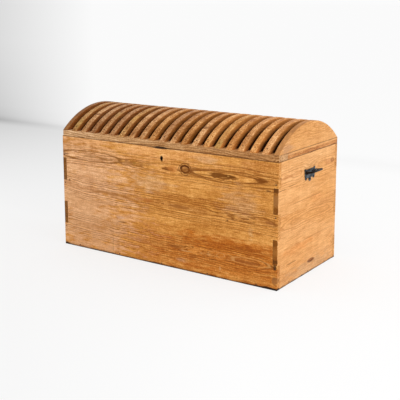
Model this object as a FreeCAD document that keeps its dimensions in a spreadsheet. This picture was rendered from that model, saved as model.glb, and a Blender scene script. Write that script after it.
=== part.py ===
import FreeCAD, Part
import math
import os
import re

import Sketcher
from FreeCAD import Placement, Rotation, Vector

# Pine dome-top trunk: a finger-jointed plank chest under an arched, ribbed lid.
# Millimetres, +Z up, front face towards -Y, origin at the middle of the footprint.

# ---------------------------------------------------------------- driving sizes

SIZES = {
    # chest
    "chest_width": 1200,
    "chest_depth": 558,
    "chest_height": 548,
    "wall_thickness": 22,
    "finger_count": 5,
    "front_seam_low": 195,
    "front_seam_high": 387,
    "back_seam": 280,
    "end_seam": 311,
    "bottom_thickness": 20,
    "bottom_board_count": 3,
    # lid
    "lid_inset": 5,
    "rail_height": 27,
    "rail_depth": 78,
    "end_rail_height": 17,
    "end_rail_width": 45,
    "gable_thickness": 26,
    "crown_rise": 110,
    "rib_count": 19,
    "rib_width": 32,
    "rib_depth": 34,
    "rib_arris": 5,
    "lining_thickness": 10,
    "stave_count": 8,
    # nails in the wood
    "nail_radius": 1.5,
    "nail_head_radius": 3,
    "nail_head_height": 1.5,
    "nail_length": 48,
    "corner_nail_offset": 15,
    "bottom_nail_pitch": 250,
    "bottom_nail_margin": 60,
    "rib_nail_inset": 24,
    # keyhole and lock
    "lock_offset": 5,
    "keyhole_height": 503,
    "keyhole_radius": 4.5,
    "keyhole_slot_width": 5.6,
    "keyhole_slot_length": 20,
    "lock_width": 100,
    "lock_flange": 22,
    "lock_height": 76,
    "lock_depth": 18,
    "lock_sheet": 2,
    "lock_top_gap": 3,
    "bolt_length": 40,
    "bolt_height": 7,
    "bolt_thickness": 4,
    "bolt_drop": 16,
    "bolt_nose_gap": 2,
    "bolt_leg_setback": 22,
    "bolt_leg_width": 14,
    "bolt_leg_length": 20,
    "staple_plate_length": 46,
    "staple_plate_width": 14,
    "staple_plate_thickness": 2.5,
    "staple_width": 11,
    "staple_thickness": 5,
    "staple_wall": 3,
    "staple_slot_clearance": 1.5,
    "staple_eye_clearance": 1,
    "staple_screw_inset": 6.4,
    "lock_screw_margin": 15,
    "spring_thickness": 0.8,
    "spring_setback": 4,
    "spring_foot": 10,
    "spring_run": 22,
    "spring_tip": 6,
    # hinges
    "hinge_spacing": 760,
    "hinge_width": 72,
    "hinge_leaf": 3,
    "hinge_pin_radius": 3,
    "hinge_lower_height": 86,
    "hinge_upper_height": 24,
    "hinge_screw_margin": 12,
    "hinge_screw_drop_high": 33,
    "hinge_screw_drop_low": 70,
    "hinge_stop_length": 10,
    "hinge_stop_thickness": 3.4,
    "lid_open_angle": 105,
    # screws
    "screw_radius": 2,
    "screw_head_radius": 4,
    "screw_length": 18,
    # end handles
    "handle_height": 464,
    "plate_width": 100,
    "plate_foot_width": 88,
    "plate_rise": 12,
    "plate_drop": 27,
    "plate_thickness": 3,
    "plate_ear_radius": 4.5,
    "plate_side_lobe_radius": 7.5,
    "plate_side_lobe_offset": 36,
    "plate_middle_lobe_radius": 10,
    "plate_middle_lobe_drop": 33,
    "lug_width": 9,
    "lug_radius": 7,
    "lug_standoff": 8,
    "bail_pin_radius": 3,
    "bail_bar_radius": 4.5,
    "bail_eye_radius": 6.5,
    "bail_eye_width": 10,
    "bail_span": 86,
    "bail_reach": 32,
    "bail_bend": 10,
    "bail_angle_right": 105,
    "bail_angle_left": 0,
    "handle_nail_radius": 1.6,
    "handle_nail_head_radius": 3.6,
    "handle_nail_length": 20,
    "handle_nail_head_height": 1.6,
    # clearances
    "running_clearance": 0.05,
    "sliding_clearance": 0.3,
    "cut_past": 1,
}

# Sizes that follow from the driving ones; expressions use the names above.
DERIVED = {
    "half_width": "chest_width / 2",
    "half_depth": "chest_depth / 2",
    "finger": "chest_height / finger_count",
    "inner_depth": "chest_depth - 2 * wall_thickness",
    "inner_width": "chest_width - 2 * wall_thickness",
    "bottom_board_depth": "(chest_depth - 2 * wall_thickness) / bottom_board_count",
    "lid_length": "chest_width - lid_inset",
    "lid_left": "lid_inset - chest_width / 2",
    "spring_height": "chest_height + rail_height",
    "arch_radius": "((chest_depth / 2) ^ 2 + crown_rise ^ 2) / (2 * crown_rise)",
    "arch_centre": "chest_height + rail_height + crown_rise"
                   " - ((chest_depth / 2) ^ 2 + crown_rise ^ 2) / (2 * crown_rise)",
    "rib_gap": "(chest_width - lid_inset - 2 * gable_thickness - rib_count * rib_width)"
               " / (rib_count + 1)",
    "hinge_axis_y": "chest_depth / 2 + hinge_leaf + hinge_pin_radius",
    "knuckle_radius": "hinge_leaf + hinge_pin_radius",
    "lock_face_y": "wall_thickness - chest_depth / 2",
    "lock_centre_y": "wall_thickness - chest_depth / 2 + (lock_depth - lock_sheet) / 2",
    "lock_top": "chest_height - lock_top_gap",
    "bolt_centre": "chest_height - bolt_drop",
    "handle_pivot_x": "chest_width / 2 + plate_thickness + lug_standoff",
}

# Sketch geometry starts at this size and its dimensions then draw it to shape.
SEED_RADIUS = 10
# Lengths closer than this are one length.
SAME_LENGTH = 1e-3
# A fastener's shank runs this far on into its head, so that the two fuse into one solid.
SHANK_OVERLAP = 0.01

doc = FreeCAD.newDocument("Trunk")
sheet = doc.addObject("Spreadsheet::Sheet", "Sizes")
for row, (alias, number) in enumerate(SIZES.items(), start=1):
    sheet.set(f"A{row}", alias)
    sheet.set(f"B{row}", str(number))
    sheet.setAlias(f"B{row}", alias)
doc.recompute()

derived = doc.addObject("App::VarSet", "Derived")
nodes = {}


def expression(text):
    """Point every size name in the text at the object that holds it."""
    def owner(match):
        word = match.group()
        if word in SIZES:
            return f"Sizes.{word}"
        if word in DERIVED:
            return f"Derived.{word}"
        return word
    return re.sub(r"[a-z][a-z_]*", owner, text)


for name, text in DERIVED.items():
    derived.addProperty("App::PropertyFloat", name)
    derived.setExpression(name, expression(text))
doc.recompute()


def size(name):
    """The present number behind a size, for the groups that are set in code."""
    if name in DERIVED:
        return derived.getPropertyByName(name)
    return float(sheet.get(name))


def bind(item, bindings):
    for target, text in bindings.items():
        item.setExpression(target, expression(text))


# ---------------------------------------------------------------- solid helpers

def box(name, corner, extent):
    """A block from its low corner and its extent along X, Y and Z."""
    block = doc.addObject("Part::Box", name)
    bind(block, dict(zip(("Length", "Width", "Height"), extent)))
    bind(block, dict(zip(("Placement.Base.x", "Placement.Base.y", "Placement.Base.z"), corner)))
    return block


TURN_TO = {
    "X": Rotation(Vector(0, 1, 0), 90),
    "Y": Rotation(Vector(1, 0, 0), -90),
    "Z": Rotation(),
}


def rod(name, start, along, radius, length):
    """A round bar from the middle of its low end, along X, Y or Z."""
    bar = doc.addObject("Part::Cylinder", name)
    bar.Placement = Placement(Vector(), TURN_TO[along])
    bind(bar, {"Radius": radius, "Height": length})
    bind(bar, dict(zip(("Placement.Base.x", "Placement.Base.y", "Placement.Base.z"), start)))
    return bar


def group(name, links):
    cluster = doc.addObject("Part::Compound", name)
    cluster.Links = links
    return cluster


def fuse(name, shapes):
    joined = doc.addObject("Part::MultiFuse", name)
    joined.Shapes = shapes
    return joined


def cut(name, base, tool):
    result = doc.addObject("Part::Cut", name)
    result.Base = base
    result.Tool = tool
    return result


def cut_each(name, base, tools):
    """Cut one tool after another, since the tools may cross each other."""
    for index, tool in enumerate(tools, start=1):
        last = index == len(tools)
        base = cut(name if last else f"{name}_stage_{index}", base, tool)
    return base


def keep(name, item):
    item.Label = name
    nodes[name] = item
    return item


def new_body(name):
    return doc.addObject("PartDesign::Body", name)


def new_sketch(body, role, name):
    """A sketch flat on one of the body's own origin planes."""
    plane = next(item for item in body.Origin.OriginFeatures if item.Role == role)
    sketch = body.newObject("Sketcher::SketchObject", name)
    sketch.AttachmentSupport = (plane, "")
    sketch.MapMode = "FlatFace"
    return sketch


def dimension(sketch, name, kind, where, text):
    """Add a driving constraint at its present value and bind it to the sizes."""
    if kind == "Radius":
        present = sketch.Geometry[where[0]].Radius
    else:
        run = sketch.getPoint(where[2], where[3]) - sketch.getPoint(where[0], where[1])
        present = run.x if kind == "DistanceX" else run.y
    index = sketch.addConstraint(Sketcher.Constraint(kind, *where, present))
    sketch.renameConstraint(index, name)
    sketch.setExpression(f"Constraints.{name}", expression(text))


def polygon(sketch, corners):
    """A closed outline; each corner is a pair of expressions from the sketch's origin."""
    start = [Vector(SEED_RADIUS * math.cos(turn), SEED_RADIUS * math.sin(turn), 0)
             for turn in (2 * math.pi * step / len(corners) for step in range(len(corners)))]
    for index, point in enumerate(start):
        sketch.addGeometry(Part.LineSegment(point, start[(index + 1) % len(start)]), False)
    for index in range(len(corners)):
        following = (index + 1) % len(corners)
        sketch.addConstraint(Sketcher.Constraint("Coincident", index, 2, following, 1))
    for index, (across, up) in enumerate(corners):
        dimension(sketch, f"across_{index}", "DistanceX", (-1, 1, index, 1), across)
        dimension(sketch, f"up_{index}", "DistanceY", (-1, 1, index, 1), up)


def circle(sketch, name, across, up, radius):
    start = Part.Circle(Vector(1, 1, 0), Vector(0, 0, 1), SEED_RADIUS)
    index = sketch.addGeometry(start, False)
    dimension(sketch, f"{name}_radius", "Radius", (index,), radius)
    dimension(sketch, f"{name}_across", "DistanceX", (-1, 1, index, 3), across)
    dimension(sketch, f"{name}_up", "DistanceY", (-1, 1, index, 3), up)


def pad(body, name, sketch, length, centred=False):
    feature = body.newObject("PartDesign::Pad", name)
    feature.Profile = sketch
    feature.Midplane = centred
    bind(feature, {"Length": length})
    sketch.Visibility = False
    return feature


# ---------------------------------------------------------------- fasteners

def fastener(shank, head, head_height, length, countersunk=False, proud=0):
    """A nail or screw driven along -Z, its head flush with or proud of the surface at Z = 0."""
    under_head = proud - head_height
    pin = Part.makeCylinder(shank, length - head_height + SHANK_OVERLAP,
                            Vector(0, 0, under_head + SHANK_OVERLAP), Vector(0, 0, -1))
    if countersunk:
        cap = Part.makeCone(shank, head, head_height, Vector(0, 0, under_head))
    else:
        cap = Part.makeCylinder(head, head_height, Vector(0, 0, under_head))
    return cap.fuse(pin).removeSplitter()


def fastener_group(name, shape, spots):
    """Copies of one fastener, each at a point and driven along a direction."""
    copies = []
    for point, direction in spots:
        copy = shape.copy()
        copy.Placement = Placement(point, Rotation(Vector(0, 0, -1), direction))
        copies.append(copy)
    holder = doc.addObject("Part::Feature", name)
    holder.Shape = Part.makeCompound(copies)
    return holder


nail = fastener(size("nail_radius"), size("nail_head_radius"), size("nail_head_height"),
                size("nail_length"))
screw_head_height = size("screw_head_radius") - size("screw_radius")
screw = fastener(size("screw_radius"), size("screw_head_radius"), screw_head_height,
                 size("screw_length"), countersunk=True)
handle_nail = fastener(size("handle_nail_radius"), size("handle_nail_head_radius"),
                       size("handle_nail_head_height"), size("handle_nail_length"),
                       proud=size("handle_nail_head_height"))


def chest_nail_spots():
    """Corner nails through the long walls' fingers, and nails into the bottom boards."""
    finger = size("finger")
    count = int(size("finger_count"))
    half_width = size("half_width")
    half_depth = size("half_depth")
    wall = size("wall_thickness")
    level = size("bottom_thickness") / 2
    spots = []
    for side in (-1, 1):
        for face in (-1, 1):
            for cell in range(0, count, 2):
                top_cell = cell + 1 >= count
                edge = cell * finger if top_cell else (cell + 1) * finger
                step = size("corner_nail_offset") * (1 if top_cell else -1)
                spots.append((Vector(side * (half_width - wall / 2), face * half_depth,
                                     edge + step), Vector(0, -face, 0)))
    boards = int(size("bottom_board_count"))
    for side in (-1, 1):
        for board in range(boards):
            y = -half_depth + wall + (board + 0.5) * size("bottom_board_depth")
            spots.append((Vector(side * half_width, y, level), Vector(-side, 0, 0)))
    pitch = size("bottom_nail_pitch")
    steps = int((half_width - size("bottom_nail_margin")) // pitch)
    for face in (-1, 1):
        for step in range(-steps, steps + 1):
            spots.append((Vector(step * pitch, face * half_depth, level), Vector(0, -face, 0)))
    return spots


chest_nails = keep("chest_nails", fastener_group("chest_nails", nail, chest_nail_spots()))


def rib_nail_spots():
    """One nail through each rib's foot, square to the arch, into the rail below."""
    radius = size("arch_radius")
    centre = size("arch_centre")
    y = size("half_depth") - size("rib_nail_inset")
    rise = math.sqrt(radius ** 2 - y ** 2)
    spots = []
    for index in range(int(size("rib_count"))):
        x = (size("lid_left") + size("gable_thickness") + size("rib_gap")
             + index * (size("rib_width") + size("rib_gap")) + size("rib_width") / 2)
        for face in (-1, 1):
            spots.append((Vector(x, face * y, centre + rise), Vector(0, -face * y, -rise)))
    return spots


rib_nails = keep("rib_nails", fastener_group("rib_nails", nail, rib_nail_spots()))


def hinge_screw_spots():
    """Screws of both hinges: two rows below the seam, one row above it."""
    face = size("half_depth") + size("hinge_leaf")
    reach = size("hinge_width") / 2 - size("hinge_screw_margin")
    seam = size("chest_height")
    lower_rows = (seam - size("hinge_screw_drop_high"), seam - size("hinge_screw_drop_low"))
    upper_row = seam + size("knuckle_radius") + (size("hinge_upper_height")
                                                 - size("knuckle_radius")) / 2
    below = []
    above = []
    for side in (-1, 1):
        middle = side * size("hinge_spacing") / 2
        for z in lower_rows:
            for step in (-1, 1):
                below.append((Vector(middle + step * reach, face, z), Vector(0, -1, 0)))
        for step in (-1, 0, 1):
            above.append((Vector(middle + step * reach, face, upper_row), Vector(0, -1, 0)))
    return below, above


def lock_screw_spots():
    """Four screws through the lock's flanges, driven forwards into the front wall."""
    spots = []
    face = size("lock_face_y") + size("lock_sheet")
    reach = size("lock_width") / 2 + size("lock_flange") / 2
    margin = size("lock_screw_margin")
    for side in (-1, 1):
        for drop in (margin, size("lock_height") - margin):
            spots.append((Vector(size("lock_offset") + side * reach, face,
                                 size("lock_top") - drop), Vector(0, -1, 0)))
    return spots


def staple_screw_spots():
    """Two screws through the staple's plate, up into the front rail."""
    reach = size("staple_plate_length") / 2 - size("staple_screw_inset")
    return [(Vector(size("lock_offset") + side * reach, size("lock_centre_y"),
                    size("chest_height")), Vector(0, 0, 1)) for side in (-1, 1)]


below_seam, above_seam = hinge_screw_spots()
chest_screws = keep("chest_screws", fastener_group("chest_screws", screw,
                                                   below_seam + lock_screw_spots()))
lid_screws = keep("lid_screws", fastener_group("lid_screws", screw,
                                               above_seam + staple_screw_spots()))


def handle_nail_spots():
    """Five nails in each handle plate: two between the lugs and one in each lobe."""
    spots = []
    drop = size("plate_drop")
    across = (size("bail_span") / 2 - size("bail_eye_width") / 2 - size("lug_width")
              - 2 * size("handle_nail_head_radius"))
    pattern = [(-across, 0), (across, 0),
               (-size("plate_side_lobe_offset"), -drop), (size("plate_side_lobe_offset"), -drop),
               (0, -size("plate_middle_lobe_drop"))]
    for side in (-1, 1):
        face = side * (size("half_width") + size("plate_thickness"))
        for y, z in pattern:
            spots.append((Vector(face, y, size("handle_height") + z), Vector(-side, 0, 0)))
    return spots


handle_nails = keep("handle_nails", fastener_group("handle_nails", handle_nail,
                                                   handle_nail_spots()))


# ---------------------------------------------------------------- chest

def finger_blocks(name, first_cell):
    """The corner blocks of every second finger, at all four corners."""
    blocks = []
    for side, x in (("left", "-half_width"), ("right", "half_width - wall_thickness")):
        for face, y in (("front", "-half_depth"), ("back", "half_depth - wall_thickness")):
            for cell in range(first_cell, int(size("finger_count")), 2):
                blocks.append(box(f"{name}_{side}_{face}_{cell}",
                                  (x, y, f"{cell} * finger"),
                                  ("wall_thickness", "wall_thickness", "finger")))
    return group(name, blocks)


long_fingers = finger_blocks("long_fingers", 0)
end_fingers = finger_blocks("end_fingers", 1)

keyhole_round = rod("keyhole_round",
                    ("lock_offset", "-half_depth - cut_past", "keyhole_height"), "Y",
                    "keyhole_radius", "wall_thickness + 2 * cut_past")
keyhole_slot = box("keyhole_slot",
                   ("lock_offset - keyhole_slot_width / 2", "-half_depth - cut_past",
                    "keyhole_height - keyhole_slot_length"),
                   ("keyhole_slot_width", "wall_thickness + 2 * cut_past",
                    "keyhole_slot_length"))
keyhole = fuse("keyhole", [keyhole_round, keyhole_slot])


def wall_planks(name, corner, extent, seams, tools):
    """A wall of planks edge to edge, from the ground up, each cut by the same tools."""
    levels = ["0"] + seams + ["chest_height"]
    spans = list(zip(levels, levels[1:]))
    for number, (low, high) in enumerate(spans, start=1):
        plank = f"{name}_plank_{number}"
        blank = box(f"{plank}_blank", (corner[0], corner[1], low),
                    (extent[0], extent[1], f"{high} - {low}"))
        keep(plank, cut_each(plank, blank, tools))


wall_planks("front", ("-half_width", "-half_depth"), ("chest_width", "wall_thickness"),
            ["front_seam_low", "front_seam_high"],
            [end_fingers, chest_nails, keyhole, chest_screws])
wall_planks("back", ("-half_width", "half_depth - wall_thickness"),
            ("chest_width", "wall_thickness"), ["back_seam"],
            [end_fingers, chest_nails, chest_screws])
wall_planks("left_end", ("-half_width", "-half_depth"), ("wall_thickness", "chest_depth"),
            ["end_seam"], [long_fingers, chest_nails, handle_nails])
wall_planks("right_end", ("half_width - wall_thickness", "-half_depth"),
            ("wall_thickness", "chest_depth"), ["end_seam"],
            [long_fingers, chest_nails, handle_nails])

for number in range(1, int(size("bottom_board_count")) + 1):
    board = f"bottom_board_{number}"
    blank = box(f"{board}_blank",
                ("-inner_width / 2", f"-inner_depth / 2 + {number - 1} * bottom_board_depth", "0"),
                ("inner_width", "bottom_board_depth", "bottom_thickness"))
    keep(board, cut(board, blank, chest_nails))


# ---------------------------------------------------------------- lid

def arch_sketch(body, name):
    """An arched bar: two arcs about one centre, with level feet at the springing height."""
    sketch = new_sketch(body, "YZ_Plane", name)
    centre = Vector(0, size("arch_centre"), 0)
    rise = size("spring_height") - size("arch_centre")
    ends = []
    for reach in (size("arch_radius"), size("arch_radius") - size("rib_depth")):
        swing = math.acos(rise / reach)
        arc = Part.ArcOfCircle(Part.Circle(centre, Vector(0, 0, 1), reach),
                               math.pi / 2 - swing, math.pi / 2 + swing)
        sketch.addGeometry(arc, False)
        ends.append((arc.StartPoint, arc.EndPoint))
    for side in (0, 1):
        sketch.addGeometry(Part.LineSegment(ends[0][side], ends[1][side]), False)
    for side in (0, 1):
        foot = 2 + side
        sketch.addConstraint(Sketcher.Constraint("Coincident", 0, side + 1, foot, 1))
        sketch.addConstraint(Sketcher.Constraint("Coincident", 1, side + 1, foot, 2))
        sketch.addConstraint(Sketcher.Constraint("Horizontal", foot))
    sketch.addConstraint(Sketcher.Constraint("Coincident", 0, 3, 1, 3))
    sketch.addConstraint(Sketcher.Constraint("PointOnObject", 0, 3, -2))
    sketch.addConstraint(Sketcher.Constraint("Horizontal", 0, 1, 0, 2))
    dimension(sketch, "outer", "Radius", (0,), "arch_radius")
    dimension(sketch, "inner", "Radius", (1,), "arch_radius - rib_depth")
    dimension(sketch, "centre", "DistanceY", (-1, 1, 0, 3), "arch_centre")
    dimension(sketch, "foot", "DistanceY", (-1, 1, 0, 1), "spring_height")
    return sketch


def rib(number):
    """One sawn rib: a square-section arch with its two outer arrises rounded over."""
    name = f"rib_{number:02d}"
    body = new_body(f"{name}_body")
    arch = pad(body, f"{name}_pad", arch_sketch(body, f"{name}_arch"), "rib_width")
    doc.recompute()
    crown = size("arch_radius")
    edges = [f"Edge{index}" for index, edge in enumerate(arch.Shape.Edges, start=1)
             if hasattr(edge.Curve, "Radius") and abs(edge.Curve.Radius - crown) < SAME_LENGTH]
    rounding = body.newObject("PartDesign::Fillet", f"{name}_arris")
    rounding.Base = (arch, edges)
    bind(rounding, {"Radius": "rib_arris"})
    body.Tip = rounding
    bind(body, {"Placement.Base.x":
                f"lid_left + gable_thickness + rib_gap + {number - 1} * (rib_width + rib_gap)"})
    keep(name, cut(name, body, rib_nails))


def gable(side, left_face):
    """An end board under the arch, stepped over the front rail and seated on the end rail."""
    name = f"{side}_gable"
    body = new_body(name)
    sketch = new_sketch(body, "YZ_Plane", f"{name}_outline")
    half = size("half_depth")
    spring = size("spring_height")
    seat = size("chest_height") + size("end_rail_height")
    step = size("rail_depth") - half
    corners = [Vector(half, spring), Vector(half, seat), Vector(step, seat),
               Vector(step, spring), Vector(-half, spring)]
    centre = Vector(0, size("arch_centre"), 0)
    swing = math.asin(half / size("arch_radius"))
    sketch.addGeometry(Part.ArcOfCircle(
        Part.Circle(centre, Vector(0, 0, 1), size("arch_radius")),
        math.pi / 2 - swing, math.pi / 2 + swing), False)
    for begin, end in zip(corners, corners[1:]):
        sketch.addGeometry(Part.LineSegment(begin, end), False)
    sketch.addConstraint(Sketcher.Constraint("Coincident", 0, 1, 1, 1))
    for line in (1, 2, 3):
        sketch.addConstraint(Sketcher.Constraint("Coincident", line, 2, line + 1, 1))
    sketch.addConstraint(Sketcher.Constraint("Coincident", 4, 2, 0, 2))
    for line, direction in zip((1, 2, 3, 4), ("Vertical", "Horizontal", "Vertical", "Horizontal")):
        sketch.addConstraint(Sketcher.Constraint(direction, line))
    sketch.addConstraint(Sketcher.Constraint("PointOnObject", 0, 3, -2))
    dimension(sketch, "crown", "Radius", (0,), "arch_radius")
    dimension(sketch, "centre", "DistanceY", (-1, 1, 0, 3), "arch_centre")
    dimension(sketch, "front", "DistanceX", (0, 2, -1, 1), "half_depth")
    dimension(sketch, "back", "DistanceX", (-1, 1, 0, 1), "half_depth")
    dimension(sketch, "seat", "DistanceY", (-1, 1, 1, 2), "chest_height + end_rail_height")
    dimension(sketch, "step", "DistanceX", (4, 2, 4, 1), "rail_depth")
    pad(body, f"{name}_board", sketch, "gable_thickness")
    bind(body, {"Placement.Base.x": left_face})
    keep(name, body)


# Lays a cylinder's sector along X, with its first edge facing the back.
FACING_BACK = Rotation(Vector(1, 1, 1), 120)


def lining():
    """Coopered staves under the ribs, lying side by side along the lid between the gables."""
    count = int(size("stave_count"))
    inner = size("arch_radius") - size("rib_depth") - size("lining_thickness")
    below = box("below_springing", ("lid_left", "-half_depth", "0"),
                ("lid_length", "chest_depth", "spring_height"))
    rise = size("spring_height") - size("arch_centre")
    reach = math.degrees(math.acos(rise / (inner + size("lining_thickness"))))
    angle = 2 * reach / count
    staves = []
    for index in range(count):
        sectors = []
        for layer, radius in (("outer", "arch_radius - rib_depth"),
                              ("inner", "arch_radius - rib_depth - lining_thickness")):
            sector = rod(f"stave_{index}_{layer}",
                         ("lid_left + gable_thickness", "0", "arch_centre"), "X",
                         radius, "lid_length - 2 * gable_thickness")
            sector.Angle = angle
            sectors.append(sector)
        turn = Rotation(Vector(1, 0, 0), 90 - reach + index * angle)
        for sector in sectors:
            sector.Placement = Placement(Vector(), turn.multiply(FACING_BACK))
        stave = cut(f"stave_{index}_round", sectors[0], sectors[1])
        staves.append(cut(f"stave_{index}", stave, below))
    keep("lining_staves", group("lining_staves", staves))


for number in range(1, int(size("rib_count")) + 1):
    rib(number)
gable("left", "lid_left")
gable("right", "half_width - gable_thickness")
lining()

front_rail = box("front_rail_blank", ("lid_left", "-half_depth", "chest_height"),
                 ("lid_length", "rail_depth", "rail_height"))
back_rail = box("back_rail_blank",
                ("lid_left + end_rail_width", "half_depth - rail_depth", "chest_height"),
                ("lid_length - 2 * end_rail_width", "rail_depth", "rail_height"))
staple_plate_recess = box("staple_recess",
                          ("lock_offset - staple_plate_length / 2",
                           "lock_centre_y - staple_plate_width / 2",
                           "chest_height - cut_past"),
                          ("staple_plate_length", "staple_plate_width",
                           "staple_plate_thickness + cut_past"))
keep("front_rail", cut_each("front_rail", front_rail,
                            [rib_nails, staple_plate_recess, lid_screws]))
keep("back_rail", cut_each("back_rail", back_rail, [rib_nails, lid_screws]))
for side, x in (("left", "lid_left"), ("right", "half_width - end_rail_width")):
    keep(f"{side}_end_rail", box(f"{side}_end_rail", (x, "rail_depth - half_depth", "chest_height"),
                                 ("end_rail_width", "chest_depth - rail_depth",
                                  "end_rail_height")))


# ---------------------------------------------------------------- lock

def lock_case():
    """An iron case open towards the wood, with side flanges, a bolt ledge and a staple slot."""
    shell = box("lock_shell", ("lock_offset - lock_width / 2", "lock_face_y",
                               "lock_top - lock_height"),
                ("lock_width", "lock_depth", "lock_height"))
    flange = box("lock_flanges", ("lock_offset - lock_width / 2 - lock_flange", "lock_face_y",
                                  "lock_top - lock_height"),
                 ("lock_width + 2 * lock_flange", "lock_sheet", "lock_height"))
    hollow = box("lock_hollow", ("lock_offset - lock_width / 2 + lock_sheet",
                                 "lock_face_y - cut_past", "lock_top - lock_height + lock_sheet"),
                 ("lock_width - 2 * lock_sheet", "lock_depth - lock_sheet + cut_past",
                  "lock_height - 2 * lock_sheet"))
    slot = box("staple_slot", ("lock_offset - staple_thickness / 2 - staple_slot_clearance",
                               "lock_centre_y - staple_width / 2 - staple_slot_clearance",
                               "lock_top - lock_sheet - cut_past"),
               ("staple_thickness + 2 * staple_slot_clearance",
                "staple_width + 2 * staple_slot_clearance", "lock_sheet + 2 * cut_past"))
    ledge = box("bolt_ledge",
                ("lock_offset - lock_width / 2", "lock_centre_y - bolt_thickness / 2",
                 "bolt_centre - bolt_height / 2 - sliding_clearance - lock_sheet"),
                ("bolt_leg_width",
                 "lock_face_y + lock_depth - lock_sheet / 2 - lock_centre_y + bolt_thickness / 2",
                 "lock_sheet"))
    outer = fuse("lock_outer", [shell, flange])
    body = cut_each("lock_body", outer, [hollow, slot])
    keep("lock_case", cut("lock_case", fuse("lock_assembled", [body, ledge]), chest_screws))


def lock_bolt():
    """A flat bolt that shoots sideways through the staple, with a leg down to the key."""
    body = new_body("lock_bolt")
    sketch = new_sketch(body, "XZ_Plane", "lock_bolt_outline")
    nose = "-staple_thickness / 2 - bolt_nose_gap"
    low = "-bolt_height / 2"
    high = "bolt_height / 2"
    leg = f"{low} - bolt_leg_length"
    leg_left = f"{nose} - bolt_leg_setback - bolt_leg_width / 2"
    leg_right = f"{nose} - bolt_leg_setback + bolt_leg_width / 2"
    tail = f"{nose} - bolt_length"
    polygon(sketch, [(nose, high), (tail, high), (tail, low), (leg_left, low), (leg_left, leg),
                     (leg_right, leg), (leg_right, low), (nose, low)])
    pad(body, "lock_bolt_plate", sketch, "bolt_thickness", centred=True)
    bind(body, {"Placement.Base.x": "lock_offset", "Placement.Base.y": "lock_centre_y",
                "Placement.Base.z": "bolt_centre"})
    keep("lock_bolt", body)


def lock_spring():
    """A bent leaf hung from the roof of the case that presses on the bolt."""
    body = new_body("lock_spring")
    sketch = new_sketch(body, "XZ_Plane", "lock_spring_outline")
    roof = "bolt_drop - lock_top_gap - lock_sheet"
    rest = "bolt_height / 2 + sliding_clearance"
    left = "-lock_width / 2 + spring_setback"
    bend = f"{left} + spring_foot"
    dip = f"{bend} + spring_run"
    tip = f"{dip} + spring_tip"
    polygon(sketch, [(left, roof), (bend, roof), (dip, f"{rest} + spring_thickness"),
                     (tip, f"{rest} + spring_thickness"), (tip, rest),
                     (f"{dip} - spring_thickness", rest),
                     (f"{bend} - spring_thickness", f"{roof} - spring_thickness"),
                     (left, f"{roof} - spring_thickness")])
    pad(body, "lock_spring_leaf", sketch, "bolt_thickness", centred=True)
    bind(body, {"Placement.Base.x": "lock_offset", "Placement.Base.y": "lock_centre_y",
                "Placement.Base.z": "bolt_centre"})
    keep("lock_spring", body)


def lock_staple():
    """The plate let into the front rail, with the loop that drops into the lock."""
    plate = box("staple_plate", ("lock_offset - staple_plate_length / 2",
                                 "lock_centre_y - staple_plate_width / 2", "chest_height"),
                ("staple_plate_length", "staple_plate_width", "staple_plate_thickness"))
    loop = box("staple_loop",
               ("lock_offset - staple_thickness / 2", "lock_centre_y - staple_width / 2",
                "bolt_centre - bolt_height / 2 - staple_eye_clearance - staple_wall"),
               ("staple_thickness", "staple_width",
                "bolt_drop + bolt_height / 2 + staple_eye_clearance + staple_wall"))
    eye = box("staple_eye",
              ("lock_offset - staple_thickness", "lock_centre_y - staple_width / 2 + staple_wall",
               "bolt_centre - bolt_height / 2 - staple_eye_clearance"),
              ("2 * staple_thickness", "staple_width - 2 * staple_wall",
               "bolt_height + 2 * staple_eye_clearance"))
    solid = fuse("staple_solid", [plate, loop])
    keep("lock_staple", cut_each("lock_staple", solid, [eye, lid_screws]))


lock_case()
lock_bolt()
lock_spring()
lock_staple()


# ---------------------------------------------------------------- hinges

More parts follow.
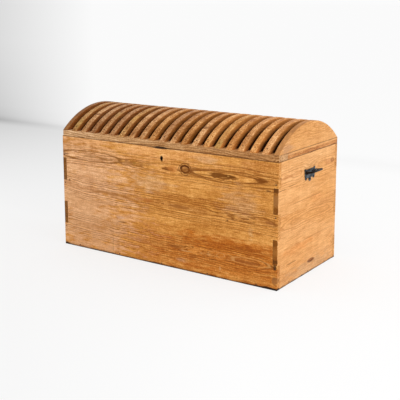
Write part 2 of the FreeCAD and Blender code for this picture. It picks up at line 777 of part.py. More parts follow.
def hinge(side, middle):
    """A stop hinge: two knuckles below, one above, and a tongue that ends the swing."""
    third = "hinge_width / 3"
    gap = "sliding_clearance"
    left = f"{middle} - hinge_width / 2"
    axis = ("hinge_axis_y", "chest_height")
    bore = rod(f"{side}_hinge_bore", (f"{left} - cut_past", *axis), "X",
               "hinge_pin_radius + running_clearance", "hinge_width + 2 * cut_past")

    lower_plate = box(f"{side}_lower_plate",
                      (left, "half_depth", "chest_height - hinge_lower_height"),
                      ("hinge_width", "hinge_leaf", "hinge_lower_height"))
    window = rod(f"{side}_lower_window", (f"{left} + {third}", *axis), "X",
                 "knuckle_radius + 2 * sliding_clearance", third)
    knuckles = [rod(f"{side}_lower_knuckle_{place}", (start, *axis), "X", "knuckle_radius",
                    f"{third} - {gap}")
                for place, start in (("left", left), ("right", f"{left} + 2 * {third} + {gap}"))]
    lower = fuse(f"{side}_lower_solid", [cut(f"{side}_lower_leaf", lower_plate, window), *knuckles])
    keep(f"{side}_hinge_lower",
         cut_each(f"{side}_hinge_lower", lower, [bore, chest_screws]))

    upper_plate = box(f"{side}_upper_plate", (left, "half_depth", "chest_height"),
                      ("hinge_width", "hinge_leaf", "hinge_upper_height"))
    windows = group(f"{side}_upper_windows", [
        rod(f"{side}_upper_window_{place}", (start, *axis), "X",
            "knuckle_radius + 2 * sliding_clearance", f"{third} + {gap}")
        for place, start in (("left", left), ("right", f"{left} + 2 * {third} - {gap}"))])
    knuckle = rod(f"{side}_upper_knuckle", (f"{left} + {third} + {gap}", *axis), "X",
                  "knuckle_radius", f"{third} - 2 * {gap}")
    tongue = doc.addObject("Part::Box", f"{side}_stop_tongue")
    bind(tongue, {
        "Length": f"{third} - 2 * {gap}",
        "Width": "hinge_stop_thickness",
        "Height": "hinge_stop_length",
    })
    turn = Rotation(Vector(1, 0, 0), size("lid_open_angle"))
    corner = turn.multVec(Vector(0, size("sliding_clearance") - size("hinge_pin_radius"),
                                 -size("hinge_stop_length")))
    tongue.Placement = Placement(Vector(0, size("hinge_axis_y") + corner.y,
                                        size("chest_height") + corner.z), turn)
    bind(tongue, {"Placement.Base.x": f"{left} + {third} + {gap}"})
    upper = fuse(f"{side}_upper_solid",
                 [cut(f"{side}_upper_leaf", upper_plate, windows), knuckle, tongue])
    keep(f"{side}_hinge_upper",
         cut_each(f"{side}_hinge_upper", upper, [bore, lid_screws]))
    return rod(f"{side}_hinge_pin", (left, *axis), "X", "hinge_pin_radius", "hinge_width")


pins = [hinge("left", "-hinge_spacing / 2"), hinge("right", "hinge_spacing / 2")]
keep("hinge_pins", group("hinge_pins", pins))


# ---------------------------------------------------------------- end handles

def face_out(item, sign):
    """Set an item built facing +X on the right or the left end of the chest."""
    item.Placement = Placement(Vector(), Rotation(Vector(0, 0, 1), 0 if sign > 0 else 180))
    bind(item, {"Placement.Base.x": f"{sign} * half_width",
                "Placement.Base.z": "handle_height"})


def handle_plate(side, sign):
    """A trapezoid back plate with two ears on its top edge and three lobes along its foot."""
    name = f"{side}_handle_plate"
    body = new_body(f"{name}_body")
    outline = new_sketch(body, "YZ_Plane", f"{name}_outline")
    polygon(outline, [("-plate_width / 2", "plate_rise"), ("plate_width / 2", "plate_rise"),
                      ("plate_foot_width / 2", "-plate_drop"),
                      ("-plate_foot_width / 2", "-plate_drop")])
    pad(body, f"{name}_field", outline, "plate_thickness")
    ears = new_sketch(body, "YZ_Plane", f"{name}_ears")
    circle(ears, "left", "plate_ear_radius - plate_width / 2", "plate_rise", "plate_ear_radius")
    circle(ears, "right", "plate_width / 2 - plate_ear_radius", "plate_rise", "plate_ear_radius")
    pad(body, f"{name}_ear_pads", ears, "plate_thickness")
    lobes = new_sketch(body, "YZ_Plane", f"{name}_lobes")
    circle(lobes, "left", "-plate_side_lobe_offset", "-plate_drop", "plate_side_lobe_radius")
    circle(lobes, "middle", "0", "-plate_middle_lobe_drop", "plate_middle_lobe_radius")
    circle(lobes, "right", "plate_side_lobe_offset", "-plate_drop", "plate_side_lobe_radius")
    pad(body, f"{name}_lobe_pads", lobes, "plate_thickness")
    face_out(body, sign)
    keep(name, cut(name, body, handle_nails))


def handle_lugs(side, sign):
    """The two round-nosed lugs that carry the bail's pins."""
    name = f"{side}_handle_lugs"
    lugs = []
    for end, place in (("near", "-bail_span / 2 + bail_eye_width / 2 + sliding_clearance"),
                       ("far", "bail_span / 2 - bail_eye_width / 2 - sliding_clearance"
                               " - lug_width")):
        root = box(f"{name}_{end}_root", ("plate_thickness", place, "-lug_radius"),
                   ("lug_standoff", "lug_width", "2 * lug_radius"))
        nose = rod(f"{name}_{end}_nose", ("plate_thickness + lug_standoff", place, "0"), "Y",
                   "lug_radius", "lug_width")
        hole = rod(f"{name}_{end}_hole",
                   ("plate_thickness + lug_standoff", f"{place} - cut_past", "0"), "Y",
                   "bail_pin_radius + running_clearance", "lug_width + 2 * cut_past")
        lugs.append(cut(f"{name}_{end}", fuse(f"{name}_{end}_solid", [root, nose]), hole))
    pair = group(name, lugs)
    face_out(pair, sign)
    keep(name, pair)


def handle_bail(side, sign):
    """A round bar bent to a U, its pins turned in through the lugs."""
    name = f"{side}_handle_bail"
    body = new_body(f"{name}_bar")
    route = new_sketch(body, "YZ_Plane", f"{name}_route")
    half = size("bail_span") / 2
    reach = size("bail_reach")
    bend = size("bail_bend")
    top = [Vector(-half, 0), Vector(half, 0)]
    low = [Vector(-half, bend - reach), Vector(bend - half, -reach),
           Vector(half - bend, -reach), Vector(half, bend - reach)]
    route.addGeometry(Part.LineSegment(top[0], low[0]), False)
    route.addGeometry(Part.ArcOfCircle(
        Part.Circle(Vector(bend - half, bend - reach), Vector(0, 0, 1), bend),
        math.pi, 1.5 * math.pi), False)
    route.addGeometry(Part.LineSegment(low[1], low[2]), False)
    route.addGeometry(Part.ArcOfCircle(
        Part.Circle(Vector(half - bend, bend - reach), Vector(0, 0, 1), bend),
        1.5 * math.pi, 2 * math.pi), False)
    route.addGeometry(Part.LineSegment(low[3], top[1]), False)
    route.addConstraint(Sketcher.Constraint("Tangent", 0, 2, 1, 1))
    route.addConstraint(Sketcher.Constraint("Tangent", 1, 2, 2, 1))
    route.addConstraint(Sketcher.Constraint("Tangent", 2, 2, 3, 1))
    route.addConstraint(Sketcher.Constraint("Tangent", 3, 2, 4, 1))
    route.addConstraint(Sketcher.Constraint("Vertical", 0))
    route.addConstraint(Sketcher.Constraint("Horizontal", 2))
    route.addConstraint(Sketcher.Constraint("Vertical", 4))
    route.addConstraint(Sketcher.Constraint("Equal", 1, 3))
    route.addConstraint(Sketcher.Constraint("PointOnObject", 0, 1, -1))
    route.addConstraint(Sketcher.Constraint("PointOnObject", 4, 2, -1))
    dimension(route, "left_arm", "DistanceX", (0, 1, -1, 1), "bail_span / 2")
    dimension(route, "right_arm", "DistanceX", (-1, 1, 4, 2), "bail_span / 2")
    dimension(route, "reach", "DistanceY", (1, 2, -1, 1), "bail_reach")
    dimension(route, "bend", "Radius", (1,), "bail_bend")
    profile = new_sketch(body, "XY_Plane", f"{name}_section")
    circle(profile, "bar", "0", "-bail_span / 2", "bail_bar_radius")
    pipe = body.newObject("PartDesign::AdditivePipe", f"{name}_pipe")
    pipe.Profile = profile
    pipe.Spine = route
    eyes = []
    for end, place in (("near", "-bail_span / 2 - bail_eye_width / 2"),
                       ("far", "bail_span / 2 - bail_eye_width / 2")):
        eyes.append(rod(f"{name}_{end}_eye", ("0", place, "0"), "Y",
                        "bail_eye_radius", "bail_eye_width"))
    for end, place in (("near", "-bail_span / 2"),
                       ("far", "bail_span / 2 - bail_eye_width / 2 - 2 * sliding_clearance"
                               " - lug_width")):
        eyes.append(rod(f"{name}_{end}_pin", ("0", place, "0"), "Y", "bail_pin_radius",
                        "bail_eye_width / 2 + lug_width + 2 * sliding_clearance"))
    bail = fuse(name, [body, *eyes])
    bail.Placement = Placement(Vector(), Rotation(Vector(0, -sign, 0), 1))
    bind(bail, {"Placement.Base.x": f"{sign} * handle_pivot_x",
                "Placement.Base.z": "handle_height",
                "Placement.Rotation.Angle": f"bail_angle_{side}"})
    keep(name, bail)


for side, sign in (("left", -1), ("right", 1)):
    handle_plate(side, sign)
    handle_lugs(side, sign)
    handle_bail(side, sign)


# ---------------------------------------------------------------- checks and export

doc.recompute()
for item in doc.Objects:
    if {"Invalid", "Error"} & set(item.State):
        raise SystemExit(f"{item.Name} is in state {item.State}")
for name, item in nodes.items():
    if item.Shape.isNull() or not item.Shape.isValid() or not item.Shape.Solids:
        raise SystemExit(f"{name} has no valid solid")

os.makedirs("parts", exist_ok=True)
for name, item in nodes.items():
    item.Shape.exportStep(os.path.join("parts", f"{name}.step"))
print(f"{len(nodes)} nodes written")
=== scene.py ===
import math
import random
from functools import partial

import bmesh
import bpy
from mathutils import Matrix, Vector, noise


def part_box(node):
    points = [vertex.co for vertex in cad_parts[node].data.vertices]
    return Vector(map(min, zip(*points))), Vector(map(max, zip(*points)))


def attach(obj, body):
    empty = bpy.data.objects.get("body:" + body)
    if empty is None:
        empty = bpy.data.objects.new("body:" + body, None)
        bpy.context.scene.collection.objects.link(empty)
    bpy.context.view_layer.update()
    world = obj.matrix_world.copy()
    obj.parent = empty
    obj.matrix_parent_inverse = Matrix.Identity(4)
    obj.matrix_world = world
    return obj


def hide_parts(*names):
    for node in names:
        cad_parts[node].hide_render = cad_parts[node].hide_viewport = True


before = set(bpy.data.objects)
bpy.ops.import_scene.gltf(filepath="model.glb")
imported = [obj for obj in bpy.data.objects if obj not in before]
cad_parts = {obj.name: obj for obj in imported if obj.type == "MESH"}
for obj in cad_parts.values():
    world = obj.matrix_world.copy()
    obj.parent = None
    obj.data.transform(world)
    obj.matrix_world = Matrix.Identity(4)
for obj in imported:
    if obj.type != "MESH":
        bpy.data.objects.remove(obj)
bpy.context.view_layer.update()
mm = 0.001
hair = 1e-4   # m, less than this counts as touching
speck = 1e-7  # m, and less than this as the same place
print("frame:", len(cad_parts), "CAD nodes")

# the trunk's own sizes, read from the frame, in metres
wallLow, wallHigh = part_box("front_plank_1")
ribLow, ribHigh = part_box("rib_01")
halfDepth = ribHigh.y
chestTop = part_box("front_plank_3")[1].z
wallThickness = wallHigh.y - wallLow.y
springHeight = ribLow.z
crownRise = ribHigh.z - springHeight
archRadius = (halfDepth ** 2 + crownRise ** 2) / (2 * crownRise)
archCentre = ribHigh.z - archRadius
fingerCount = 5
finger = chestTop / fingerCount


def srgb(code):
    # sRGB hex to the linear colour that the shaders use
    levels = [int(code[i:i + 2], 16) / 255 for i in (1, 3, 5)]
    linear = [c / 12.92 if c <= 0.04045 else ((c + 0.055) / 1.055) ** 2.4 for c in levels]
    return (*linear, 1.0)


def grey(level):
    return (level, level, level, 1.0)


nodeModes = {"Math": "operation", "VectorMath": "operation", "Mix": "data_type",
             "MapRange": "interpolation_type", "TexNoise": "noise_dimensions",
             "TexWhiteNoise": "noise_dimensions"}


def addNode(tree, kind, inputs=(), stops=()):
    # one node, its mode as a second word, its inputs by name or in order, and any ramp stops;
    # a MapRange takes its value, where the fade starts and stops, and then what it runs
    # between, if that isn't 0 to 1
    kind, *modes = kind.split()
    node = tree.nodes.new("ShaderNode" + kind)
    for mode in modes:
        setattr(node, nodeModes[kind], mode)
    sockets = [socket for socket in node.inputs if socket.enabled]
    byName = {socket.name: socket for socket in reversed(sockets)}
    for key, value in inputs.items() if isinstance(inputs, dict) else enumerate(inputs):
        socket = sockets[key] if isinstance(key, int) else byName[key]
        if isinstance(value, bpy.types.Node):
            value = next(out for out in value.outputs if out.enabled)
        if isinstance(value, bpy.types.NodeSocket):
            tree.links.new(value, socket)
        else:
            socket.default_value = value
    for index, (position, color) in enumerate(stops):
        ramp = node.color_ramp.elements
        stop = ramp[index] if index < 2 else ramp.new(position)
        stop.position = position
        stop.color = color
    return node


def newMaterial(name):
    material = bpy.data.materials.new(name)
    material.use_nodes = True
    material.node_tree.nodes.clear()
    return material, partial(addNode, material.node_tree)


# Waxed pine, planed and worn: broad pale wood between thin brown lines. The boards are sawn
# near the heart, so the rings show as long nested tongues round a brown heart streak.

pineBasics = {
    # under old wax, where the wax has yellowed, and the hard late wood of each ring
    "colors": ("#DDA05C", "#C98440", "#7E4717"),
    "heartwood": "#A8672C",
    "heartStrength": 0.5,
    "end": "#8A5A30",   # end grain, which takes up more dirt
    "endStrength": 0.0,
    "ringWidth": 16.0,  # mm; real rings are 2 to 4, drawn coarse enough to show
    "crowding": 90.0,   # mm from the heart at which the rings stand twice as close
    "ringStrength": 1.0,
    "ringFade": 0.25,   # the share of it left 75 mm from the heart
    "grain": 1.0,       # how much the fibres and streaks show
    "figure": (),       # rows along the board: place, the heart's height and depth, mm
    "face": 0.0,        # mm, where the board's face lies
    "axes": "XZY",      # along, across and into the board
    "seed": 1.0,
    "roughness": 0.55,
    "tone": 1.0,        # how bright the board is against its fellows; on the ribs it carries painted light
    "eyes": (),         # closed loops that the rings run round
    "knots": (),        # ovals with a dark rim
    "tongues": (),      # long ovals with a thin dark rim
    "washes": (),       # broad tints under the grain
    "stains": (),       # marks over the grain
    # dirt, dark joints and painted shade along a line: the axis across it, its place and reach
    # in mm, its colour and strength, and whether it shows on end grain only
    "edges": (),
    "flanks": (),       # faces of another colour, painted shade on the ribs' sides and the gables' inner faces: axis, way, colour and strength
    "hollow": None,     # painted shade deep between the ribs
}
# sizes along, across and into the board in mm, and the detail
pineClouds = {
    "fibre": (45, 4.5, 4.5, 3.0),    # real fibres are finer, drawn coarse enough to show
    "pore": (6.5, 5, 5, 1.0),        # real pores are finer too
    "streak": (150, 13, 13, 3.0),
    "tint": (600, 120, 120, 2.0),
    "chatter": (20, 110, 110, 3.0),  # faint marks across the grain from plane and saw
    "ripple": (70, 42, 120, 2.0),
    "blotch": (170, 45, 45, 3.0),
    "ragged": (60, 15, 15, 3.0),
}
pineShading = {
    "clouds": {"fibre": 1.4, "pore": 0.9, "streak": 0.5, "chatter": 0.4, "blotch": 0.7},
    "ring": (0.0, 0.7, -0.05, 0.03),
    "gamma": 0.5,
    "dim": 0.6,
}
seedWay = (3.71, 1.93, 0.57)  # m that one step of the seed moves the clouds
pineRings = {
    # dark share from the start of a ring to its end
    "ramp": ((0.0, 0.1), (0.4, 0.0), (0.58, 0.3), (0.72, 1.0), (0.93, 1.0), (1.0, 0.1)),
    "ripple": 9.0,               # mm that the rings stray
    "uneven": 45.0,              # changes of width per m
    "faintest": 0.6,             # against the darkest ring
    "patches": (0.3, 0.6, 0.5),  # of the blotches, where the rings fade, and to what share
    "plain": (20, 75),           # mm from the heart, where they fade to ringFade
    "streak": (8, 19),           # mm from the heart, where its own colour ends
}
pineFades = {
    "yellowed": (0.35, 0.65),  # of the tint
    "onEnds": (0.75, 0.9),     # how squarely a face looks along the board
    "onFlanks": (0.35, 0.95),
    "eye": (0.4, 1.2),         # of its half size, where its loops give way
    "washFrom": 0.2,           # of a mark's half size
    "stainFrom": 0.5,
    "markTo": 1.15,
    "edge": (0.5, 1.5),        # of the reach of dirt along a line
}
pineSurface = {"bump": 0.35, "depth": 0.4, "lateRelief": 0.6, "dullSwing": 0.16,
               "specular": 0.12, "flankStreak": 1.2}


# ovals on a board are rows: place along and across it, half sizes, all in mm, and then for an
# eye its number of rings, and for a mark its colour, strength and any raggedness of its own
eyeRagged = 1.4   # how far its edge strays, in half sizes
markRagged = 2.4
# dark lines from the middle of an oval out: a knot, and the tongue that a sawn ring leaves
rims = {
    "knots": ((0.0, 0.5), (0.15, 0.2), (0.3, 0.2), (0.42, 1.0), (0.66, 1.0), (0.78, 0.0),
              (0.89, 0.8), (1.0, 0.0)),
    "tongues": ((0.0, 0.0), (0.79, 0.0), (0.86, 1.0), (0.93, 1.0), (1.0, 0.0)),
}
straying = {
    "height": 12,               # mm that a heart line strays up or down
    "depths": (7, 12, 24, 38),  # mm, drawn from these
    "step": (70, 190),          # mm from one bend to the next
    "endDepth": 20,
}


def strayFigure(seed, low, high, heart):
    # a heart line that rises, falls and dips in and out of the face of a plain board
    chance = random.Random(seed)
    swing = straying["height"]
    stops, place = [], low
    while place < high:
        stops.append((place, heart + chance.uniform(-swing, swing),
                      chance.choice(straying["depths"])))
        place += chance.uniform(*straying["step"])
    return (*stops, (high, heart, straying["endDepth"]))


def fromSpot(add, space, cloud, oval, ragged=markRagged):
    # 0 at the middle of an oval and 1 on its ragged edge
    alongAt, acrossAt, halfLong, halfWide = oval
    reach = add("Mapping", {
        "Vector": space, "Location": (-alongAt / halfLong, -acrossAt / halfWide, 0),
        "Scale": (1 / (halfLong * mm), 1 / (halfWide * mm), 0)})
    away = add("VectorMath LENGTH", (reach,))
    stray = add("Math SUBTRACT", (cloud, 0.5))
    return add("Math MULTIPLY_ADD", (stray, ragged, away))


def paintSpots(add, color, space, cloud, spots, hard):
    # each mark keeps its full colour up to hard, a share of its half size
    for spot in spots:
        oval, (code, strength, *ragged) = spot[:4], spot[4:]
        away = fromSpot(add, space, cloud, oval, *ragged)
        mask = add("MapRange SMOOTHSTEP", (away, hard, pineFades["markTo"], strength, 0.0))
        color = add("Mix RGBA", (mask, color, srgb(code)))
    return color


def pineMaterial(name, **changes):
    board = {**pineBasics, **changes}
    material, add = newMaterial(name)
    place = add("TexCoord")
    point = add("SeparateXYZ", (place.outputs["Object"],))
    along, across, depth = (point.outputs[letter] for letter in board["axes"])
    space = add("CombineXYZ", (along, across, depth))
    shift = tuple(board["seed"] * way for way in seedWay)
    seeded = add("VectorMath ADD", (space, shift))
    cloud = {}
    for kind, (*sizes, detail) in pineClouds.items():
        waves = tuple(1 / (size * mm) for size in sizes)
        stretched = add("VectorMath MULTIPLY", (seeded, waves))
        cloud[kind] = add("TexNoise", {"Vector": stretched, "Scale": 1.0, "Detail": detail})

    # the heart line, kept in a ramp as height + 1 m and depth, so that no stop is negative
    figure = board["figure"]
    low, high = figure[0][0], figure[-1][0]
    span = add("MapRange", (along, low * mm, high * mm))
    stops = [((at - low) / (high - low), (1 + heart * mm, pith * mm, 0, 1))
             for at, heart, pith in figure]
    track = add("ValToRGB", (span,), stops)
    track.color_ramp.interpolation = "EASE"
    heart = add("SeparateColor", (track,))
    offHeart = add("Math SUBTRACT", (across, heart.outputs["Red"]))
    offHeart = add("Math ADD", (offHeart, 1.0))
    offPith = add("Math ADD", (depth, -board["face"] * mm))
    offPith = add("Math ADD", (offPith, heart.outputs["Green"]))
    fromHeart = add("CombineXYZ", (offHeart, offPith))
    radius = add("VectorMath LENGTH", (fromHeart,))
    for *oval, rings in board["eyes"]:
        away = fromSpot(add, space, cloud["ragged"], oval, eyeRagged)
        mask = add("MapRange SMOOTHSTEP", (away, *pineFades["eye"], 1.0, 0.0))
        swirl = add("Math MULTIPLY", (away, rings * board["ringWidth"] * mm))
        radius = add("Mix", (mask, radius, swirl))
    ripple = add("Math ADD", (cloud["ripple"], -0.5))
    radius = add("Math MULTIPLY_ADD", (ripple, pineRings["ripple"] * mm, radius))

    crowded = add("Math MULTIPLY_ADD", (radius, 1 / (board["crowding"] * mm), 1.0))
    crowded = add("Math MULTIPLY", (crowded, radius))
    uneven = add("Math MULTIPLY", (radius, pineRings["uneven"]))
    uneven = add("TexNoise 1D", {"W": uneven, "Detail": 1.0})
    phase = add("Math MULTIPLY_ADD", (crowded, 1 / (board["ringWidth"] * mm), uneven))
    count = add("Math FLOOR", (phase,))
    turn = add("Math FRACT", (phase,))
    ring = add("ValToRGB", (turn,), [(at, grey(level)) for at, level in pineRings["ramp"]])
    tone = add("TexWhiteNoise 1D", {"W": count})
    tone = add("Math MULTIPLY_ADD", (tone, 1 - pineRings["faintest"], pineRings["faintest"]))
    fading = add("MapRange", (cloud["blotch"], *pineRings["patches"]))
    low, high = [far * mm for far in pineRings["plain"]]
    near = add("MapRange", (radius, low, high, 1.0, board["ringFade"]))
    late = ring
    for share in (tone, near, fading):
        late = add("Math MULTIPLY", (late, share))

    warmth = add("MapRange", (cloud["tint"], *pineFades["yellowed"]))
    waxed, yellowed, hard = [srgb(code) for code in board["colors"]]
    color = add("Mix RGBA", (warmth, waxed, yellowed))
    color = paintSpots(add, color, space, cloud["ragged"], board["washes"], pineFades["washFrom"])
    low, high = [far * mm for far in pineRings["streak"]]
    heartMask = add("MapRange SMOOTHSTEP", (radius, low, high, board["heartStrength"], 0.0))
    color = add("Mix RGBA", (heartMask, color, srgb(board["heartwood"])))
    normal = add("SeparateXYZ", (place.outputs["Normal"],))
    facing = add("Math ABSOLUTE", (normal.outputs[board["axes"][0]],))
    onEnds = add("MapRange", (facing, *pineFades["onEnds"]))
    endMask = add("Math MULTIPLY", (onEnds, board["endStrength"]))
    color = add("Mix RGBA", (endMask, color, srgb(board["end"])))
    lines = add("Math MULTIPLY", (late, board["ringStrength"]))
    color = add("Mix RGBA", (lines, color, hard))
    # darker grain is also redder, so the shading is part gamma and part dimming
    shading = add("MapRange", (turn, *pineShading["ring"]))
    for kind, swing in pineShading["clouds"].items():
        swing *= board["grain"]
        shade = add("Math MULTIPLY_ADD", (cloud[kind], -swing, swing / 2))
        shading = add("Math ADD", (shading, shade))
    gamma = add("Math MULTIPLY_ADD", (shading, pineShading["gamma"], 1.0))
    color = add("Gamma", {"Color": color, "Gamma": gamma})
    dim = add("Math MULTIPLY_ADD", (shading, -pineShading["dim"], board["tone"]))
    color = add("VectorMath SCALE", {"Vector": color, "Scale": dim})
    color = paintSpots(add, color, space, cloud["ragged"], board["stains"], pineFades["stainFrom"])
    for kind, levels in rims.items():
        for spot in board[kind]:
            oval, (code, strength, *ragged) = spot[:4], spot[4:]
            away = fromSpot(add, space, cloud["ragged"], oval, *ragged)
            rim = add("ValToRGB", (away,), [(at, grey(level)) for at, level in levels])
            rim = add("Math MULTIPLY", (rim, strength))
            color = add("Mix RGBA", (rim, color, srgb(code)))

    # faces turned one way take another colour; on the ribs' sides and the gables' inner faces this
    # is painted shade
    if board["flanks"]:
        swing = pineSurface["flankStreak"]
        streak = add("Math MULTIPLY_ADD", (cloud["streak"], swing, 1 - swing / 2))
    for axis, way, code, strength in board["flanks"]:
        turned = add("Math MULTIPLY", (normal.outputs[axis], way))
        mask = add("MapRange", (turned, *pineFades["onFlanks"], 0.0, strength))
        shade = add("VectorMath SCALE", {"Vector": srgb(code)[:3], "Scale": streak})
        color = add("Mix RGBA", (mask, color, shade))
    # painted shade deep between the ribs, darkest towards the lining
    if board["hollow"]:
        outward = add("Math ADD", (point.outputs["Z"], -archCentre))
        outward = add("CombineXYZ", (point.outputs["Y"], outward))
        outward = add("VectorMath LENGTH", (outward,))
        high, low = [archRadius - depth * mm for depth in board["hollow"]["depths"]]
        mask = add("MapRange", (outward, low, high, 1.0, 0.0))
        color = add("Mix RGBA", (mask, color, srgb(board["hollow"]["color"])))
    # dirt and dark joints along a line, and at the floor and under the lid painted shadow and
    # shade
    for axis, at, reach, code, strength, endsOnly in board["edges"]:
        away = add("Math ADD", (point.outputs[axis], -at * mm))
        away = add("Math ABSOLUTE", (away,))
        away = add("Math MULTIPLY_ADD", (cloud["ragged"], reach * mm, away))
        low, high = [share * reach * mm for share in pineFades["edge"]]
        mask = add("MapRange SMOOTHSTEP", (away, low, high, strength, 0.0))
        if endsOnly:
            mask = add("Math MULTIPLY", (mask, onEnds))
        color = add("Mix RGBA", (mask, color, srgb(code)))

    relief = add("Math MULTIPLY_ADD", (late, pineSurface["lateRelief"], cloud["fibre"]))
    bump = add("Bump", {"Strength": pineSurface["bump"], "Distance": pineSurface["depth"] * mm,
                        "Height": relief})
    swing = pineSurface["dullSwing"]
    dull = add("Math MULTIPLY_ADD", (cloud["streak"], swing, board["roughness"] - swing / 2))
    shader = add("BsdfPrincipled", {
        "Base Color": color, "Roughness": dull, "Normal": bump,
        "Specular IOR Level": pineSurface["specular"]})
    add("OutputMaterial", (shader,))
    return material


# Forged iron: near black, blue-grey where hands have rubbed it, brown in the pits.

ironBasics = {
    "dark": "#2B2B2E",
    "rubbed": "#5C646C",
    "rust": "#4A2F20",
    "rubbedFrom": 0.40,       # of the hammer marks, the share left dark
    "rubbedFade": 0.3,
    "rustFrom": 0.60,         # of the pits
    "rustFade": 0.1,
    "metal": (0.8, -0.6),     # how metallic it is, and how that changes with rust
    "roughness": (0.5, 0.3),  # the same for its roughness
    "hammer": 18.0,           # mm between hammer marks
    "hammerRelief": 2.0,      # against the pits
    "pits": 2.2,              # mm between pits
    "bump": 0.4,
    "depth": 0.5,             # mm
}


def ironMaterial(name, **changes):
    look = {**ironBasics, **changes}
    material, add = newMaterial(name)
    place = add("TexCoord").outputs["Object"]
    marks = add("TexNoise", {"Vector": place, "Scale": 1 / (look["hammer"] * mm), "Detail": 2.0})
    pits = add("TexNoise", {"Vector": place, "Scale": 1 / (look["pits"] * mm), "Detail": 3.0})
    rubbed = add("MapRange", (marks, look["rubbedFrom"], look["rubbedFrom"] + look["rubbedFade"]))
    rusted = add("MapRange", (pits, look["rustFrom"], look["rustFrom"] + look["rustFade"]))
    color = add("Mix RGBA", (rubbed, srgb(look["dark"]), srgb(look["rubbed"])))
    color = add("Mix RGBA", (rusted, color, srgb(look["rust"])))
    clean, change = look["metal"]
    metal = add("Math MULTIPLY_ADD", (rusted, change, clean))
    clean, change = look["roughness"]
    dull = add("Math MULTIPLY_ADD", (rusted, change, clean))
    height = add("Math MULTIPLY_ADD", (marks, look["hammerRelief"], pits))
    bump = add("Bump", {"Strength": look["bump"], "Distance": look["depth"] * mm,
                        "Height": height})
    shader = add("BsdfPrincipled", {
        "Base Color": color, "Metallic": metal, "Roughness": dull, "Normal": bump})
    add("OutputMaterial", (shader,))
    return material


# how a board is made: a flat outline, cut to a grid, thickened, rounded and worn

roundFrom = math.radians(30)  # edges sharper than this get rounded
hardFrom = math.radians(50)   # and the ones that stay hard in the shading
roundSteps = 3


def toMesh(name, bm):
    mesh = bpy.data.meshes.new(name)
    bm.to_mesh(mesh)
    return mesh


def toScene(name, data):
    thing = bpy.data.objects.new(name, data)
    bpy.context.scene.collection.objects.link(thing)
    return thing


def throughModifier(bm, kind, **settings):
    # runs the mesh through one modifier
    mesh = toMesh("work", bm)
    holder = toScene("work", mesh)
    modifier = holder.modifiers.new("work", kind)
    for key, value in settings.items():
        setattr(modifier, key, value)
    graph = bpy.context.evaluated_depsgraph_get()
    result = bpy.data.meshes.new_from_object(holder.evaluated_get(graph))
    bm.clear()
    bm.from_mesh(result)
    bm.normal_update()
    bpy.data.objects.remove(holder)
    bpy.data.meshes.remove(mesh)
    bpy.data.meshes.remove(result)


def boardBox(node, axes):
    # the lowest and highest place of a node along, across and into the board
    low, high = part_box(node)
    return [(low["XYZ".index(axis)], high["XYZ".index(axis)]) for axis in axes]


def oblong(along, across):
    (left, right), (bottom, top) = along, across
    return [(left, bottom), (right, bottom), (right, top), (left, top)]


def turnedTo(axes):
    # makes a place along, across and into the board a place in the trunk
    order = [axes.index(axis) for axis in "XYZ"]
    return lambda *place: Vector([place[i] for i in order])


def boardShape(outline, near, far, toWorld, step, extraCuts=((), ())):
    # step is the grid's size in mm along and across; extra cuts are places in mm
    bm = bmesh.new()
    bm.faces.new([bm.verts.new((u, v, near)) for u, v in outline])
    for axis in (0, 1):
        low = min(point[axis] for point in outline)
        high = max(point[axis] for point in outline)
        count = max(1, round((high - low) / (step[axis] * mm)))
        lines = [low + (high - low) * i / count for i in range(1, count)]
        direction = Vector((1, 0, 0)) if axis == 0 else Vector((0, 1, 0))
        for line in lines + [cut * mm for cut in extraCuts[axis]]:
            bmesh.ops.bisect_plane(bm, geom=bm.verts[:] + bm.edges[:] + bm.faces[:],
                                   plane_co=direction * line, plane_no=direction, dist=speck)
    nearFaces = bm.faces[:]
    rim = [edge for edge in bm.edges if edge.is_boundary]
    farVerts = {vert: bm.verts.new((vert.co.x, vert.co.y, far)) for vert in bm.verts[:]}
    for face in nearFaces:
        bm.faces.new([farVerts[vert] for vert in reversed(face.verts)])
    for edge in rim:
        first, second = edge.verts
        bm.faces.new([first, second, farVerts[second], farVerts[first]])
    for vert in bm.verts:
        vert.co = toWorld(*vert.co)
    bmesh.ops.recalc_face_normals(bm, faces=bm.faces)
    return bm


def roundEdges(bm, largest, rounding=None):
    # bevels every sharp edge by largest, in mm, or by as much as rounding(middle, normals)
    layer = bm.edges.layers.float.new("bevel_weight_edge")
    bm.normal_update()
    for edge in bm.edges:
        if len(edge.link_faces) == 2 and edge.calc_face_angle() > roundFrom:
            middle = (edge.verts[0].co + edge.verts[1].co) / 2
            normals = [face.normal for face in edge.link_faces]
            edge[layer] = rounding(middle, normals) / largest if rounding else 1.0
    throughModifier(bm, "BEVEL", limit_method="WEIGHT", width=largest * mm, segments=roundSteps)


wear = {
    "hollow": 0.35,      # mm that the faces dip
    "hollowSpan": 90.0,  # mm from one dip to the next
    "arris": 0.9,        # mm that the corners are worn back
    "arrisSpan": 28.0,
    "straight": 0.97,    # a face looks along an axis from here on, so it is no corner
}


def wearDown(bm, seed, dents=(), arris=wear["arris"]):
    # faces dip a little, arrises are knocked back and dents pushed in, always inwards
    for vert in bm.verts:
        normal = vert.normal.copy()
        spot = vert.co + Vector((seed, 0, 0))
        dip = 0.5 + 0.5 * noise.noise(spot / (wear["hollowSpan"] * mm))
        depth = wear["hollow"] * dip
        if max(abs(part) for part in normal) < wear["straight"]:
            knock = 0.5 + 0.5 * noise.noise(spot / (wear["arrisSpan"] * mm))
            depth += arris * knock ** 2
        vert.co -= normal * depth * mm
    for dent in dents:
        for vert in bm.verts:
            away = [(vert.co[i] / mm - dent["at"][i]) / dent["half"][i] for i in range(3)]
            far = math.sqrt(sum(part * part for part in away))
            if far < 1:
                vert.co += Vector(dent["push"]) * mm * (1 - far * far)


